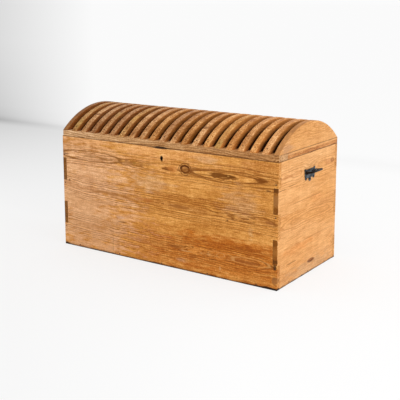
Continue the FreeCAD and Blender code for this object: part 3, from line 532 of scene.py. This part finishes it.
def finishMesh(bm, material, body, node):
    bmesh.ops.recalc_face_normals(bm, faces=bm.faces)
    mesh = toMesh(f"{node}_worn", bm)
    bm.free()
    mesh.polygons.foreach_set("use_smooth", [True] * len(mesh.polygons))
    mesh.set_sharp_from_angle(angle=hardFrom)
    mesh.materials.append(material)
    piece = toScene(f"{node}_worn", mesh)
    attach(piece, body)
    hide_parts(node)


def makeBoard(node, outline, near, far, shape, look, rounding=None, cuts=((), ()), dents=(),
              cutter=None):
    # where the look's figure is only a height, the heart line strays about it
    bm = boardShape(outline, near, far, turnedTo(look["axes"]), shape["grid"], cuts)
    roundEdges(bm, shape["rounding"], rounding)
    wearDown(bm, look["seed"], dents)
    if cutter:
        cutter(bm)
    figure = look["figure"]
    if not isinstance(figure, tuple):
        ends = [u / mm for u, v in outline]
        figure = strayFigure(look["seed"], min(ends), max(ends), figure)
    board = {"face": near / mm, **look, "figure": figure}
    material = pineMaterial(f"{shape['wood']} {node}", **board)
    finishMesh(bm, material, shape["body"], node)


# the chest's walls

def fingerOutline(low, high, bottom, top, firstFinger):
    # a plank whose ends keep only its own fingers, counted from the floor
    def ends(side, inner, outer):
        points = []
        for cell in range(fingerCount):
            cellLow, cellHigh = max(bottom, cell * finger), min(top, (cell + 1) * finger)
            if cellHigh - cellLow > speck:
                edge = outer if cell % 2 == firstFinger else inner
                points += [(edge, cellLow), (edge, cellHigh)]
        return points[::side]
    corners = (ends(1, high - wallThickness, high) + ends(-1, low + wallThickness, low))
    return [point for i, point in enumerate(corners)
            if (Vector(point) - Vector(corners[i - 1])).length > speck]


plankShape = {
    "wood": "waxed pine", "body": "chest", "slot": "aged_pine",
    "grid": (16.0, 12.0),  # mm between the lines of the mesh
    "rounding": 2.5,       # mm at the foot, worn from being dragged about
    "corner": 1.6,         # on the chest's own corners
    "seam": 0.15,          # planed flush, so hardly broken
    "rim": 1.0,            # round the top, under the lid
    "level": 0.9,          # a face that looks up or down as squarely as this ends it
}
# in mm; the cutter is longer than the plank is thick by twice the spare
keyhole = {"at": (5, 503), "radius": 6.0, "slotWidth": 8.0, "slotLength": 18, "steps": 24,
           "spare": 5}
gouge = {"at": (600, 33, 52), "half": (12, 37, 10), "push": (-5, 0, 0)}
gougeCuts = (range(-3, 73, 6), range(42, 63, 4))  # a finer mesh for it
cornerSpots = [(x, y) for x in (wallLow.x, wallHigh.x) for y in (-halfDepth, halfDepth)]


def plankRounding(middle, normals):
    if middle.z < hair and min(normal.z for normal in normals) < -plankShape["level"]:
        return plankShape["rounding"]
    if middle.z > chestTop - hair and max(normal.z for normal in normals) > plankShape["level"]:
        return plankShape["rim"]
    if any(abs(middle.x - x) < hair and abs(middle.y - y) < hair for x, y in cornerSpots):
        return plankShape["corner"]
    return plankShape["seam"]


def joinRings(bm, rings):
    # skins a row of rings of points and closes both ends
    for first, second in zip(rings, rings[1:]):
        for i in range(len(first)):
            j = (i + 1) % len(first)
            bm.faces.new([first[i], first[j], second[j], second[i]])
    bm.faces.new(rings[0])
    bm.faces.new(rings[-1][::-1])


def cutKeyhole(bm):
    # a round hole over a slot, cut right through the plank
    x, z = keyhole["at"]
    radius, half = keyhole["radius"], keyhole["slotWidth"] / 2
    start = math.asin(half / radius) - math.pi / 2
    sweep = 2 * math.pi - 2 * math.asin(half / radius)
    angles = [start + sweep * i / keyhole["steps"] for i in range(keyhole["steps"] + 1)]
    hole = [(x + radius * math.cos(angle), z + radius * math.sin(angle)) for angle in angles]
    hole += [(x + across, z - keyhole["slotLength"]) for across in (-half, half)]
    spare = keyhole["spare"] * mm
    cutter = bmesh.new()
    joinRings(cutter, [[cutter.verts.new((u * mm, y, v * mm)) for u, v in hole]
                       for y in (-halfDepth - spare, wallThickness - halfDepth + spare)])
    bmesh.ops.recalc_face_normals(cutter, faces=cutter.faces)
    mesh = toMesh("keyhole", cutter)
    cutter.free()
    tool = toScene("keyhole", mesh)
    throughModifier(bm, "BOOLEAN", operation="DIFFERENCE", object=tool, solver="EXACT")
    bpy.data.objects.remove(tool)
    bpy.data.meshes.remove(mesh)


frontLook = {"colors": ("#E49E4E", "#D08A3A", "#7C4004"), "axes": "XZY",
             "end": "#D89858", "endStrength": 0.6}
backLook = {"colors": ("#D69A56", "#C0803E", "#80460C"), "axes": "XZY",
            "end": "#D89858", "endStrength": 0.6}
leftEndLook = {"colors": ("#DBA05E", "#C98A4A", "#8C5212"), "axes": "YZX",
               "end": "#7E4E1B", "endStrength": 0.95}
rightEndLook = {"colors": ("#EAAE70", "#E09E5A", "#A45C14"), "axes": "YZX",
                "end": "#905414", "endStrength": 0.95, "heartwood": "#D4924E",
                "heartStrength": 0.35, "ringStrength": 0.55, "grain": 0.65}
# tints that run over more than one front plank
frontWashes = (
    (-483, 291, 390, 500, "#EFB684", 0.9),
    (498, 501, 190, 60, "#C47C36", 0.65),
    (-66, 375, 130, 52, "#DEB080", 0.45),
    (-100, 560, 520, 110, "#F8B26C", 0.7),
    (422, 353, 115, 78, "#D3A273", 0.5),
    (472, 224, 15, 36, "#D9A66C", 0.5),
)
# painted shadow along the foot of the walls, where the chest stands on the floor
shadowAtFloor = ("Z", 0, 12, "#22150C", 0.95, False)
# painted shade along the seam under the lid, on the walls and the rails
shadeAtLid = ("Z", chestTop / mm, 4, "#4A2A14", 0.7, False)
endDirt = [("Z", cell * finger / mm, 5, "#3A2412", 0.6, True) for cell in range(1, fingerCount)]
endDirt += [("X", at, 2.4, "#4A2808", 0.75, True) for at in (-578, 578)]
frontDirt = [("Y", at, 1.6, "#9A6228", 0.5, True) for at in (-257, 257)]

planks = {}
planks["front_plank_1"] = {
    **frontLook, "seed": 3.0,
    "figure": ((-600, 126, 14), (-424, 115, 10), (-255, 103, 14), (-66, 102, 9), (54, 101, 8),
               (194, 104, 12), (351, 101, 10), (477, 98, 8), (559, 100, 26), (600, 99, 30)),
    "eyes": ((82, 105, 80, 15, 1.6), (250, 100, 100, 26, 2.4)),
    "washes": (
        (396, 157, 360, 46, "#BC6614", 0.85),
        (326, 85, 660, 130, "#C26C1C", 0.75),
        (119, 49, 44, 12, "#D9A878", 0.5),
        (437, 151, 120, 26, "#AC5E16", 0.6),
        *frontWashes,
    ),
    "tongues": (
        (472, 103, 105, 17, "#D89A54", 0.7, 0.5),
        (346, 103, 50, 14, "#D89A54", 0.55, 0.7),
        (296, 107, 46, 13, "#D89A54", 0.65, 0.7),
        (168, 99, 62, 9, "#D89A54", 0.55, 0.6),
    ),
    "stains": (
        (455, 99, 76, 6, "#97521A", 0.75),
        (86, 105, 62, 6, "#9E5C20", 0.6),
        (-224, 168, 28, 4, "#684022", 0.75),
        (-246, 188, 24, 9, "#C9977A", 0.5),
        (-288, 66, 1.6, 48, "#8A5C34", 0.5),
        # painted shadow under the worn left foot
        (-586, 4, 24, 12, "#2A1C12", 0.95),
        (590, 43, 14, 24, "#7A5838", 0.5),
        (589, 102, 10, 15, "#4A2A0A", 0.9, 0.5),
        (-430, 110, 230, 100, "#CB9663", 0.3),
        # painted shadow under the right corner, which stands a little clear of the floor
        (560, 2, 52, 9, "#2E1C0E", 0.95),
        (136, 92, 34, 3, "#DDA464", 0.8),
        (257, 98, 14, 4, "#DDA464", 0.7),
        (317, 44, 5, 9, "#DDA464", 0.7),
        (177, 73, 24, 10, "#9A561A", 0.6),
    ),
}
planks["front_plank_2"] = {
    **frontLook, "seed": 7.0,
    "tongues": ((474, 288, 128, 21, "#8A4C12", 0.7, 0.6),),
    "washes": (
        (144, 325, 270, 32, "#B46A22", 0.6),
        (-351, 334, 100, 28, "#BE8650", 0.5),
        *frontWashes,
    ),
    "figure": ((-600, 316, 10), (-434, 298, 9), (-206, 293, 7), (-96, 294, 12),
               (54, 291, 6), (164, 289, 8), (295, 288, 15), (427, 286, 12),
               (539, 289, 8), (600, 287, 10)),
    "eyes": ((9, 291, 26, 10, 1.6), (432, 287, 84, 13, 1.6)),
    "stains": (
        (-470, 235, 170, 60, "#CB9663", 0.25),
        (-295, 296, 112, 8, "#A5692E", 0.7),
        (-78, 295, 50, 9, "#B4641E", 0.6),
        (99, 291, 70, 8, "#985A20", 0.65),
        (562, 288, 34, 6, "#955424", 0.75),
        (220, 279, 125, 2.2, "#8E5214", 0.6),
        (354, 267, 6, 4, "#6E3E18", 0.8),
        (-560, 331, 6, 5, "#744822", 0.8),
        (455, 288, 9, 3, "#7A4A22", 0.8),
    ),
}
planks["front_plank_3"] = {
    **frontLook, "seed": 12.0,
    "figure": ((-600, 459, 30), (-484, 460, 32), (-335, 461, 34), (-251, 460, 36),
               (-156, 458, 34), (-6, 455, 30), (54, 457, 28), (235, 458, 30), (295, 458, 26),
               (386, 458, 26), (437, 460, 30), (539, 458, 36), (600, 460, 38)),
    "knots": ((132, 466, 34, 31, "#5E2E02", 1.0, 0.7),),
    "tongues": (
        (348, 458, 200, 20, "#7E4206", 0.85, 0.4),
        (437, 457, 330, 30, "#8A4E10", 0.7, 0.4),
        (-424, 462, 210, 27, "#8A5418", 0.8, 0.4),
    ),
    "washes": ((240, 521, 90, 17, "#D8B48C", 0.55), *frontWashes),
    "stains": (
        (318, 461, 72, 13, "#7C460C", 0.9),
        (362, 461, 26, 11, "#744008", 0.9),
        (231, 454, 60, 2.6, "#8A5010", 0.7),
        (516, 462, 30, 14, "#80480E", 0.8),
        (58, 459, 26, 14, "#CC7E36", 0.6),
        (357, 462, 7, 4, "#C08A44", 0.7, 0.3),
        # painted shade in the keyhole, over its cut sides and rim
        (3, 500, 9, 14, "#120803", 1.0, 0.2),
        (-146, 458, 105, 9, "#A87038", 0.6),
        (-152, 461, 13, 8, "#9A7024", 0.6),
        (-395, 461, 95, 5, "#A07040", 0.6),
        (-580, 460, 22, 4, "#7A5030", 0.7),
        (554, 424, 12, 4, "#6A3C18", 0.8),
        # painted shade of the dark gap in the middle, as on the front rail
        (2, 546, 46, 4, "#1A100A", 0.95),
    ),
}
planks["back_plank_1"] = {**backLook, "seed": 21.0, "figure": 120}
planks["back_plank_2"] = {**backLook, "seed": 26.0, "figure": 420}
planks["left_end_plank_1"] = {**leftEndLook, "seed": 31.0, "figure": 150}
planks["left_end_plank_2"] = {**leftEndLook, "seed": 35.0, "figure": 420}
planks["right_end_plank_1"] = {
    **rightEndLook, "seed": 41.0,
    "figure": ((-279, 265, 30), (-118, 267, 14), (34, 269, 10), (154, 264, 12), (279, 258, 26)),
    "eyes": ((259, 83, 170, 62, 5.0), (-260, 53, 120, 46, 4.0)),
    "washes": ((-88, 145, 200, 24, "#DC8C44", 0.55), (3, 29, 310, 44, "#D0A478", 0.6)),
    "stains": (
        (3, 164, 262, 1.8, "#A8682E", 0.5),
        (-154, 90, 42, 4, "#9C6530", 0.7),
        (33, 52, 38, 10, "#5E3010", 0.9, 0.4),
        (35, 53, 25, 4.5, "#B8723A", 0.8, 0.4),
        (-55, 2, 6, 6, "#2A180C", 0.9),
        (-279, 206, 3, 16, "#7A4206", 0.7),
        (-279, 165, 3, 20, "#AC7030", 0.6),
        (-279, 126, 3, 9, "#5E3206", 0.8),
    ),
}
planks["right_end_plank_2"] = {
    **rightEndLook, "seed": 47.0,
    "figure": ((-279, 475, 20), (-97, 472, 14), (4, 480, 34), (125, 475, 12), (279, 475, 18)),
    "knots": ((231, 478, 20, 14, "#8A4E24", 0.6, 0.6),),
    "washes": (
        (79, 330, 70, 20, "#DC8E4C", 0.4),
        (-163, 472, 120, 14, "#D08A54", 0.35),
        (185, 475, 70, 16, "#CC8455", 0.35),
    ),
    "stains": (
        (-238, 425, 46, 2.4, "#85501F", 0.85),
        (-158, 431, 50, 2.0, "#94602C", 0.7),
        (34, 347, 250, 1.8, "#AC6C34", 0.6),
        (-254, 475, 6, 9, "#A0663A", 0.6),
        (-279, 429, 3, 13, "#643608", 0.8),
        (-279, 385, 3, 24, "#A87440", 0.6),
        (-279, 344, 3, 13, "#7C4406", 0.7),
    ),
}

# what is cut or pushed into two of them besides
plankExtras = {"front_plank_3": {"cutter": cutKeyhole},
               "right_end_plank_1": {"cuts": gougeCuts, "dents": (gouge,)}}

for node, look in planks.items():
    along, across, depth = boardBox(node, look["axes"])
    isLong = look["axes"][0] == "X"
    near, far = depth if depth[0] < 0 else depth[::-1]
    makeBoard(node, fingerOutline(*along, *across, 0 if isLong else 1), near, far, plankShape,
              {**look, "edges": (shadowAtFloor, shadeAtLid, *(frontDirt if isLong else endDirt))},
              plankRounding, **plankExtras.get(node, {}))
print("planks")

# the bottom, bare and never waxed

bottomShape = {"wood": "bare pine", "body": "chest", "slot": "bottom_pine",
               "grid": (30.0, 20.0), "rounding": 0.8}
bottomLook = {"colors": ("#D2A470", "#BC8B56", "#8A5A2E"), "roughness": 0.7, "axes": "XYZ"}

for number, seed in enumerate((52, 55, 58), start=1):
    node = f"bottom_board_{number}"
    along, across, (under, top) = boardBox(node, bottomLook["axes"])
    makeBoard(node, oblong(along, across), top, under, bottomShape,
              {**bottomLook, "seed": seed, "figure": sum(across) / 2 / mm})
print("bottom boards")

# the lid's rails

railShape = {"wood": "waxed pine", "body": "lid", "slot": "lid_pine", "grid": (20.0, 9.0),
             "rounding": 1.2,
             "heartBelow": 25}  # mm from a rail's middle down to its heart line
# painted shade of a dark gap in the middle of the front rail
gapShade = (8, 549, 46, 4, "#1A100A", 0.95)
rails = {
    "front_rail": {
        "colors": ("#E2B280", "#C8935C", "#744008"), "seed": 61.0, "axes": "XZY",
        "end": "#CFA070", "endStrength": 0.85, "stains": (gapShade,),
        "washes": ((500, 561, 560, 40, "#BC8148", 0.8),),
    },
    "back_rail": {"colors": ("#C99B6C", "#B5834F", "#6E4420"), "seed": 64.0, "axes": "XZY"},
    "left_end_rail": {"colors": ("#CF9A60", "#B98348", "#845527"), "seed": 67.0, "axes": "YZX"},
    "right_end_rail": {
        "colors": ("#C48248", "#B67238", "#7A400A"), "seed": 70.0, "axes": "YZX",
        "stains": ((40, 557, 9, 4, "#7A4A22", 0.7),),
    },
}

for node, look in rails.items():
    along, across, (near, far) = boardBox(node, look["axes"])
    makeBoard(node, oblong(along, across), near, far, railShape,
              {**look, "edges": (shadeAtLid,),
               "figure": sum(across) / 2 / mm - railShape["heartBelow"]})
print("rails")

# the gables that close the arch

gables = {
    "left_gable": {
        "colors": ("#BE8648", "#A46C36", "#6E431C"), "seed": 81.0,
        # painted shade on the inner face, towards the first rib; the arched top is a darker brown
        "flanks": (("X", 1, "#8A4A1A", 0.85), ("Y", -1, "#86542A", 0.7),
                   ("Z", 1, "#86542A", 0.7)),
    },
    "right_gable": {
        "colors": ("#E8AC6E", "#DC9C5A", "#AC6820"), "seed": 85.0,
        "ringStrength": 0.5, "grain": 0.7,
        # painted shade on the inner face, inside the lid; the arched top is a darker brown
        "flanks": (("X", -1, "#6E431E", 0.85), ("Y", -1, "#B87C44", 0.8),
                   ("Z", 1, "#B87C44", 0.8)),
        "washes": ((-215, 593, 72, 34, "#C6946A", 0.7),),
    },
}
gableShape = {"wood": "waxed pine", "body": "lid", "slot": "lid_pine", "grid": (18.0, 14.0),
              "rounding": 2.5,
              "seat": 0.3,  # mm of rounding where it stands on its rail
              "steps": 56,
              "heart": 653}   # mm, how high the heart line runs
# darker along the gables' feet, where they meet the rails
darkAtRail = ("Z", springHeight / mm, 3.5, "#5A3418", 0.7, False)
swing = math.asin(halfDepth / archRadius)
angles = [swing - 2 * swing * i / gableShape["steps"] for i in range(gableShape["steps"] + 1)]
arc = [(archRadius * math.sin(angle), archCentre + archRadius * math.cos(angle))
       for angle in angles]
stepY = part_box("front_rail")[1].y


def gableRounding(middle, normals):
    return gableShape["rounding" if middle.z > springHeight + hair else "seat"]


for node, look in gables.items():
    along, (bottom, top), (near, far) = boardBox(node, "YZX")
    outline = [(stepY, springHeight), (stepY, bottom), (halfDepth, bottom)] + arc
    makeBoard(node, outline, near, far, gableShape,
              {**look, "axes": "YZX", "face": max(near, far, key=abs) / mm,
               "edges": (darkAtRail,), "figure": gableShape["heart"]}, gableRounding)
print("gables")

# the ribs, each sawn to the curve, so the grain runs straight across it

ribShape = {
    "depth": 34,         # mm
    "seedStep": 5.3,     # from one rib to the next
    "stations": 80,      # along the curve
    "arris": 5.0,        # mm, the two outer corners, worn round
    "arrisSteps": 6,
    "inner": 1.5,
    "innerSteps": 2,
    # how far a rib strays sideways and how far its outside is worn: mm, how many times along
    # it, and a place of its own in the noise
    "lean": (0.9, 1.7, 0),
    "thin": (1.1, 3.1, 5),
    "narrow": 0.97,      # its share of the frame's width, so that it stays in there
    "heart": (613, 30),  # mm, its heart line's height, and how much that differs
    "paintedLight": 0.24,        # painted light: how much brighter the right-hand ribs are painted, on the lamp's side
    # painted shade on the sides, down in the gaps, darker in the left and the middle third
    "flanks": ("#8E4E1A", "#A06024", "#BA7636"),
    "sideShadeStrength": 0.85,
}
ribLook = {
    "axes": "YZX", "ringWidth": 9.0, "ringStrength": 0.4, "grain": 1.5,
    # painted shade deepens between these depths below the outside, in mm
    "hollow": {"color": "#3A1800", "depths": (17, 29)},
}
# dark streaks on each rib: their number, and the limits of what is drawn for each
ribStreaks = {"count": 3, "color": "#703A08", "at": ((-240, 120), (593, 678)),
              "half": ((18, 60), (2, 7)), "strength": (0.3, 0.75)}
ribPatch = {"height": 623, "half": (26, 70), "strength": 0.35}
ribDepth = ribShape["depth"] * mm
ribWidth = ribHigh.x - ribLow.x
ribHalfRow = (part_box("rib_19")[1].x - ribLow.x) / 2
ribTints = {
    "honey": ("#DAA262", "#C28848", "#784408"),
    "tan": ("#D69C64", "#BC8048", "#70400C"),
    "amber": ("#D69856", "#BC7C40", "#703A04"),
    "rose": ("#CE9662", "#B47A48", "#6C3C10"),
    "rust": ("#CA8A4C", "#B07236", "#663404"),
}
ribOrder = ("honey", "tan", "rose", "tan", "rose", "honey", "tan", "tan", "amber", "rose",
            "tan", "rust", "tan", "amber", "honey", "rust", "tan", "amber", "tan")
# a patch on a single rib: how far along the curve, and the colour
ribMarks = {1: (-240, "#B8964A"), 4: (-150, "#C09A58"), 6: (-170, "#C8923E"),
            7: (-90, "#6E4420"), 12: (-120, "#8A5628"), 15: (-262, "#9A8440")}


def ribSection():
    # the outline across a rib: place across it and depth below the outside, in mm
    half, deep = ribWidth / 2 / mm, ribDepth / mm
    points = []
    for side, bottom, radius, start in (
            (1, False, ribShape["arris"], 90), (1, True, ribShape["inner"], 0),
            (-1, True, ribShape["inner"], -90), (-1, False, ribShape["arris"], -180)):
        steps = ribShape["innerSteps" if bottom else "arrisSteps"]
        for i in range(steps + 1):
            angle = math.radians(start - 90 * i / steps)
            points.append((side * (half - radius) + radius * math.cos(angle),
                           (deep - radius if bottom else radius) - radius * math.sin(angle)))
    return points


for number, tint in enumerate(ribOrder, start=1):
    node = f"rib_{number:02d}"
    low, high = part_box(node)
    middle = (low.x + high.x) / 2
    seed = number * ribShape["seedStep"]
    bm = bmesh.new()
    rings = []
    for station in range(ribShape["stations"] + 1):
        t = 2 * station / ribShape["stations"] - 1
        size, times, cut = ribShape["lean"]
        lean = size * noise.noise(Vector((seed, t * times, cut))) * (1 - abs(t))
        size, times, cut = ribShape["thin"]
        thin = size * (0.5 + 0.5 * noise.noise(Vector((seed, t * times, cut))))
        ring = []
        for across, deep in ribSection():
            radius = archRadius - (deep + thin * (1 - deep * mm / ribDepth)) * mm
            angle = t * math.acos((springHeight - archCentre) / radius)
            ring.append(bm.verts.new((middle + (ribShape["narrow"] * across + lean) * mm,
                                      radius * math.sin(angle),
                                      archCentre + radius * math.cos(angle))))
        rings.append(ring)
    joinRings(bm, rings)
    chance = random.Random(seed)
    stains = []
    for _ in range(ribStreaks["count"]):
        at, half = [tuple(chance.uniform(*ends) for ends in ribStreaks[key])
                    for key in ("at", "half")]
        strength = chance.uniform(*ribStreaks["strength"])
        stains.append((*at, *half, ribStreaks["color"], strength))
    if number in ribMarks:
        at, color = ribMarks[number]
        stains.append((at, ribPatch["height"], *ribPatch["half"], color, ribPatch["strength"]))
    # the sides get painted shade, darker in the left and the middle third of the row
    sideShadeColor = ribShape["flanks"][(number - 1) * 3 // len(ribOrder)]
    flanks = [("X", way, sideShadeColor, ribShape["sideShadeStrength"]) for way in (-1, 1)]
    height, swing = ribShape["heart"]
    figure = strayFigure(seed, -halfDepth / mm, halfDepth / mm, height + swing * math.sin(seed))
    # painted light: the ribs get brighter towards the right, the lamp's side
    material = pineMaterial(f"waxed pine {node}", colors=ribTints[tint], figure=figure,
                            face=middle / mm, seed=seed, stains=stains, flanks=flanks,
                            tone=1 + ribShape["paintedLight"] * middle / ribHalfRow, **ribLook)
    finishMesh(bm, material, "lid", node)
print("ribs")

# the lining staves that close the lid under the ribs, dark with age and painted darker still, as
# painted shade that shows through the gaps between the ribs

liningShape = {
    "staves": 8,
    "thickness": 10,              # mm
    "grid": (30.0, 20.0),
    "rounding": 0.8,
    "tight": 0.4,                 # mm that a stave is pressed into the next, so no light gets in
    "seed": 90.0, "seedStep": 3,  # of the staves' wear
    "figure": (-580, 580, 60),    # mm, the heart line's two ends and its height
}
# near black: old dark wood, and painted shade that shows through the gaps between the ribs
liningLook = {"colors": ("#402410", "#34200F", "#221206"), "roughness": 0.8, "grain": 0.6,
              "axes": "XYZ", "seed": 93.0}
along, across, depth = boardBox("lining_staves", "XYZ")
liningOuter = archRadius - ribDepth
liningInner = liningOuter - liningShape["thickness"] * mm
reach = math.acos((springHeight - archCentre) / liningOuter)


def bend(u, v, w):
    # v is the place round the arch on the outside, brought in so that the ends stay level
    lowest = math.acos((springHeight - archCentre) / w)
    angle = v / liningOuter * lowest / reach
    return Vector((u, w * math.sin(angle), archCentre + w * math.cos(angle)))


bm = bmesh.new()
staveWidth = 2 * reach * liningOuter / liningShape["staves"]
for index in range(liningShape["staves"]):
    start = index * staveWidth - reach * liningOuter
    stop = start + staveWidth
    if index > 0:
        start -= liningShape["tight"] * mm
    if index < liningShape["staves"] - 1:
        stop += liningShape["tight"] * mm
    stave = boardShape(oblong(along, (start, stop)), liningOuter, liningInner, bend,
                       liningShape["grid"])
    roundEdges(stave, liningShape["rounding"])
    wearDown(stave, liningShape["seed"] + liningShape["seedStep"] * index, arris=0.0)
    mesh = toMesh("stave", stave)
    stave.free()
    bm.from_mesh(mesh)
    bpy.data.meshes.remove(mesh)
figure = strayFigure(liningLook["seed"], *liningShape["figure"])
material = pineMaterial("age-darkened, shade-painted pine lining", figure=figure, **liningLook)
finishMesh(bm, material, "lid", "lining_staves")
print("lining")

# the ironwork keeps the frame's own shapes, with its arrises filed off

filedFrom = math.radians(40)  # only edges sharper than this
filedSteps = 2
ironwork = {
    "forged iron handle plate": {
        "nodes": [f"{side}_handle_{part}" for side in ("left", "right")
                  for part in ("plate", "lugs")],
        "filed": 0.7, "look": {"dark": "#2E3134", "rubbed": "#78848C", "hammer": 30.0},
    },
    "forged iron bail": {
        "nodes": ["left_handle_bail", "right_handle_bail"],
        "filed": 0.7, "look": {"dark": "#1B1A1A", "rubbed": "#4A4E52", "hammer": 30.0},
    },
    "rusted iron nail": {
        "nodes": ["chest_nails", "handle_nails"],
        "filed": 0.35, "look": {"dark": "#2A211B", "rubbed": "#463B33", "rustFrom": 0.5},
    },
    "waxed-over iron nail": {  # these took the colour of the wood
        "nodes": ["rib_nails"],
        "filed": 0.35, "look": {"dark": "#6E4826", "rubbed": "#7E5630", "rust": "#6A4222",
                                "rustFrom": 0.45},
    },
    "oxidised iron hinge": {
        "nodes": ["hinge_pins", *[f"{side}_hinge_{leaf}" for side in ("left", "right")
                                  for leaf in ("lower", "upper")]],
        "filed": 0.5, "look": {},
    },
    "filed iron lock": {
        "nodes": ["lock_case", "lock_spring", "lock_bolt", "lock_staple"],
        "filed": 0.4, "look": {"dark": "#242426", "rubbed": "#4C5054"},
    },
    "steel wood screw": {
        "nodes": ["chest_screws", "lid_screws"],
        "filed": 0.2, "look": {"dark": "#4A4742", "rubbed": "#77736C"},
    },
}

for name, group in ironwork.items():
    material = ironMaterial(name, **group["look"])
    for node in group["nodes"]:
        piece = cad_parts[node]
        piece.data.materials.clear()
        piece.data.materials.append(material)
        bevel = piece.modifiers.new("filed edges", "BEVEL")
        bevel.width = group["filed"] * mm
        bevel.segments = filedSteps
        bevel.limit_method = "ANGLE"
        bevel.angle_limit = filedFrom
print("ironwork")

# the camera, a little above the lid and off the right-hand end

view = {
    "at": (2.1493, -3.1266, 1.2063),  # m
    "azimuth": 34.227,                # degrees round from the front
    "pitch": 9.92,                    # degrees down
    "lens": 72.94,                    # mm
    "sensor": 36,                     # mm
    "shift": -0.15,                   # keeps the trunk's corners nearly upright
    "farthest": 200,                  # m
}

camera = toScene("camera", bpy.data.cameras.new("camera"))
camera.data.sensor_width = view["sensor"]
camera.data.lens = view["lens"]
camera.data.shift_y = view["shift"]
camera.data.clip_end = view["farthest"]
camera.location = view["at"]
camera.rotation_euler = (math.radians(90 - view["pitch"]), 0, math.radians(view["azimuth"]))
bpy.context.scene.camera = camera

# a white paper floor that glows for the camera and fades off to the left in painted shade,
# daylight all round and one soft lamp

studio = {
    "floor": "#F4F4F4",
    "shading": 0.22,             # how much of the floor's own shading the camera sees
    "paper": 0.76,               # and how bright it looks besides
    "size": 150,                 # m, half the floor
    "fanAt": (2.15, -3.13),      # m, the daylight fans out from here
    "fanEdge": -1.12,            # its left edge, in m sideways for each m back
    "fanSoftNear": -0.6,         # where it starts to fall off, in front of the bend
    "fanSoftFar": -0.89,         # and past it
    "bendAt": 2.46,              # m behind the trunk, where the paper turns up
    "bendSoft": (-0.3, 0.1),     # m round it, where the one fall goes over into the other
    "crease": 0.03,              # painted shade, how much darker the bend itself is
    "creaseReach": 0.3,          # m
    "sky": 0.97,                 # how bright the paper looks above the horizon
    "skySoft": 0.1,              # the height of the fade, as a share of the way forward
    "world": 0.9,
    "lamp": 35.0,                # W
    "lampAt": (3.4, -0.4, 2.3),  # m
    "lampAim": (0, 0, 0.3),
    "lampSize": 2.4,
}
nearestBack = {"floor": 0.5, "sky": 0.01}  # keeps the fan from turning over behind its middle
# painted shade: how much darker the left side gets, by m behind the trunk
paperFall = ((0.0, 0.04), (0.9, 0.14), (1.79, 0.25), (2.22, 0.31), (2.43, 0.49),
             (2.65, 0.40), (3.2, 0.34), (4.3, 0.31), (8.0, 0.27), (12.7, 0.25))

bm = bmesh.new()
bmesh.ops.create_grid(bm, x_segments=1, y_segments=1, size=studio["size"])
floor = toScene("floor", toMesh("floor", bm))
bm.free()

paper, add = newMaterial("white studio paper")
rays = add("LightPath")
place = add("SeparateXYZ", (add("TexCoord").outputs["Object"],))
# painted shade on the paper: it falls off outside the daylight's fan, and deepens past the bend
sideways = add("Math ADD", (place.outputs["X"], -studio["fanAt"][0]))
back = add("Math ADD", (place.outputs["Y"], -studio["fanAt"][1]))
back = add("Math MAXIMUM", (back, nearestBack["floor"]))
fan = add("Math DIVIDE", (sideways, back))
nearby = add("MapRange", (fan, studio["fanSoftNear"], studio["fanEdge"]))
beyond = add("MapRange", (fan, studio["fanSoftFar"], studio["fanEdge"]))
low, high = [studio["bendAt"] + way for way in studio["bendSoft"]]
turned = add("MapRange", (place.outputs["Y"], low, high))
shadow = add("Mix", (turned, nearby, beyond))
farthest = paperFall[-1][0]
fall = add("Math MULTIPLY", (place.outputs["Y"], 1 / farthest))
fall = add("ValToRGB", (fall,), [(at / farthest, grey(level)) for at, level in paperFall])
shadow = add("Math MULTIPLY", (shadow, fall))
crease = add("Math ADD", (place.outputs["Y"], -studio["bendAt"]))
crease = add("Math ABSOLUTE", (crease,))
crease = add("MapRange", (crease, 0.0, studio["creaseReach"], studio["crease"], 0.0))
shadow = add("Math ADD", (shadow, crease))
light = add("Math SUBTRACT", (studio["paper"], shadow))
seenDirect = add("Math MAXIMUM", (rays.outputs["Is Camera Ray"], rays.outputs["Is Glossy Ray"]))
# for the camera the paper glows, painted light dimmed by the painted shade
glow = add("Emission", {"Color": light, "Strength": 1.0})
shaded = add("BsdfDiffuse", {"Color": grey(studio["shading"])})
seen = add("AddShader", (shaded, glow))
plain = add("BsdfDiffuse", {"Color": srgb(studio["floor"])})
both = add("MixShader", (seenDirect, plain, seen))
add("OutputMaterial", (both,))
floor.data.materials.append(paper)

world = bpy.data.worlds.new("daylight")
bpy.context.scene.world = world
world.use_nodes = True
world.node_tree.nodes.clear()
add = partial(addNode, world.node_tree)
rays = add("LightPath")
way = add("SeparateXYZ", (add("TexCoord").outputs["Generated"],))
back = add("Math MAXIMUM", (way.outputs["Y"], nearestBack["sky"]))
fan = add("Math DIVIDE", (way.outputs["X"], back))
# painted shade on the sky that the camera sees, darker to the left beyond the bend
far = add("MapRange", (fan, studio["fanSoftFar"], studio["fanEdge"], 0.0, paperFall[-1][1]))
behind = add("MapRange", (way.outputs["Y"], 0.0, studio["skySoft"]))
far = add("Math MULTIPLY", (far, behind))
far = add("Math SUBTRACT", (studio["sky"], far))
level = add("Mix", (rays.outputs["Is Camera Ray"], studio["world"], far))
sky = add("Background", {"Color": grey(1.0), "Strength": level})
add("OutputWorld", (sky,))

lampData = bpy.data.lights.new("soft lamp", "AREA")
lampData.energy = studio["lamp"]
lampData.size = studio["lampSize"]
lamp = toScene("soft lamp", lampData)
lamp.location = studio["lampAt"]
aim = Vector(studio["lampAim"]) - lamp.location
lamp.rotation_euler = aim.to_track_quat("-Z", "Y").to_euler()
bpy.context.scene.view_settings.view_transform = "Standard"
print("studio")
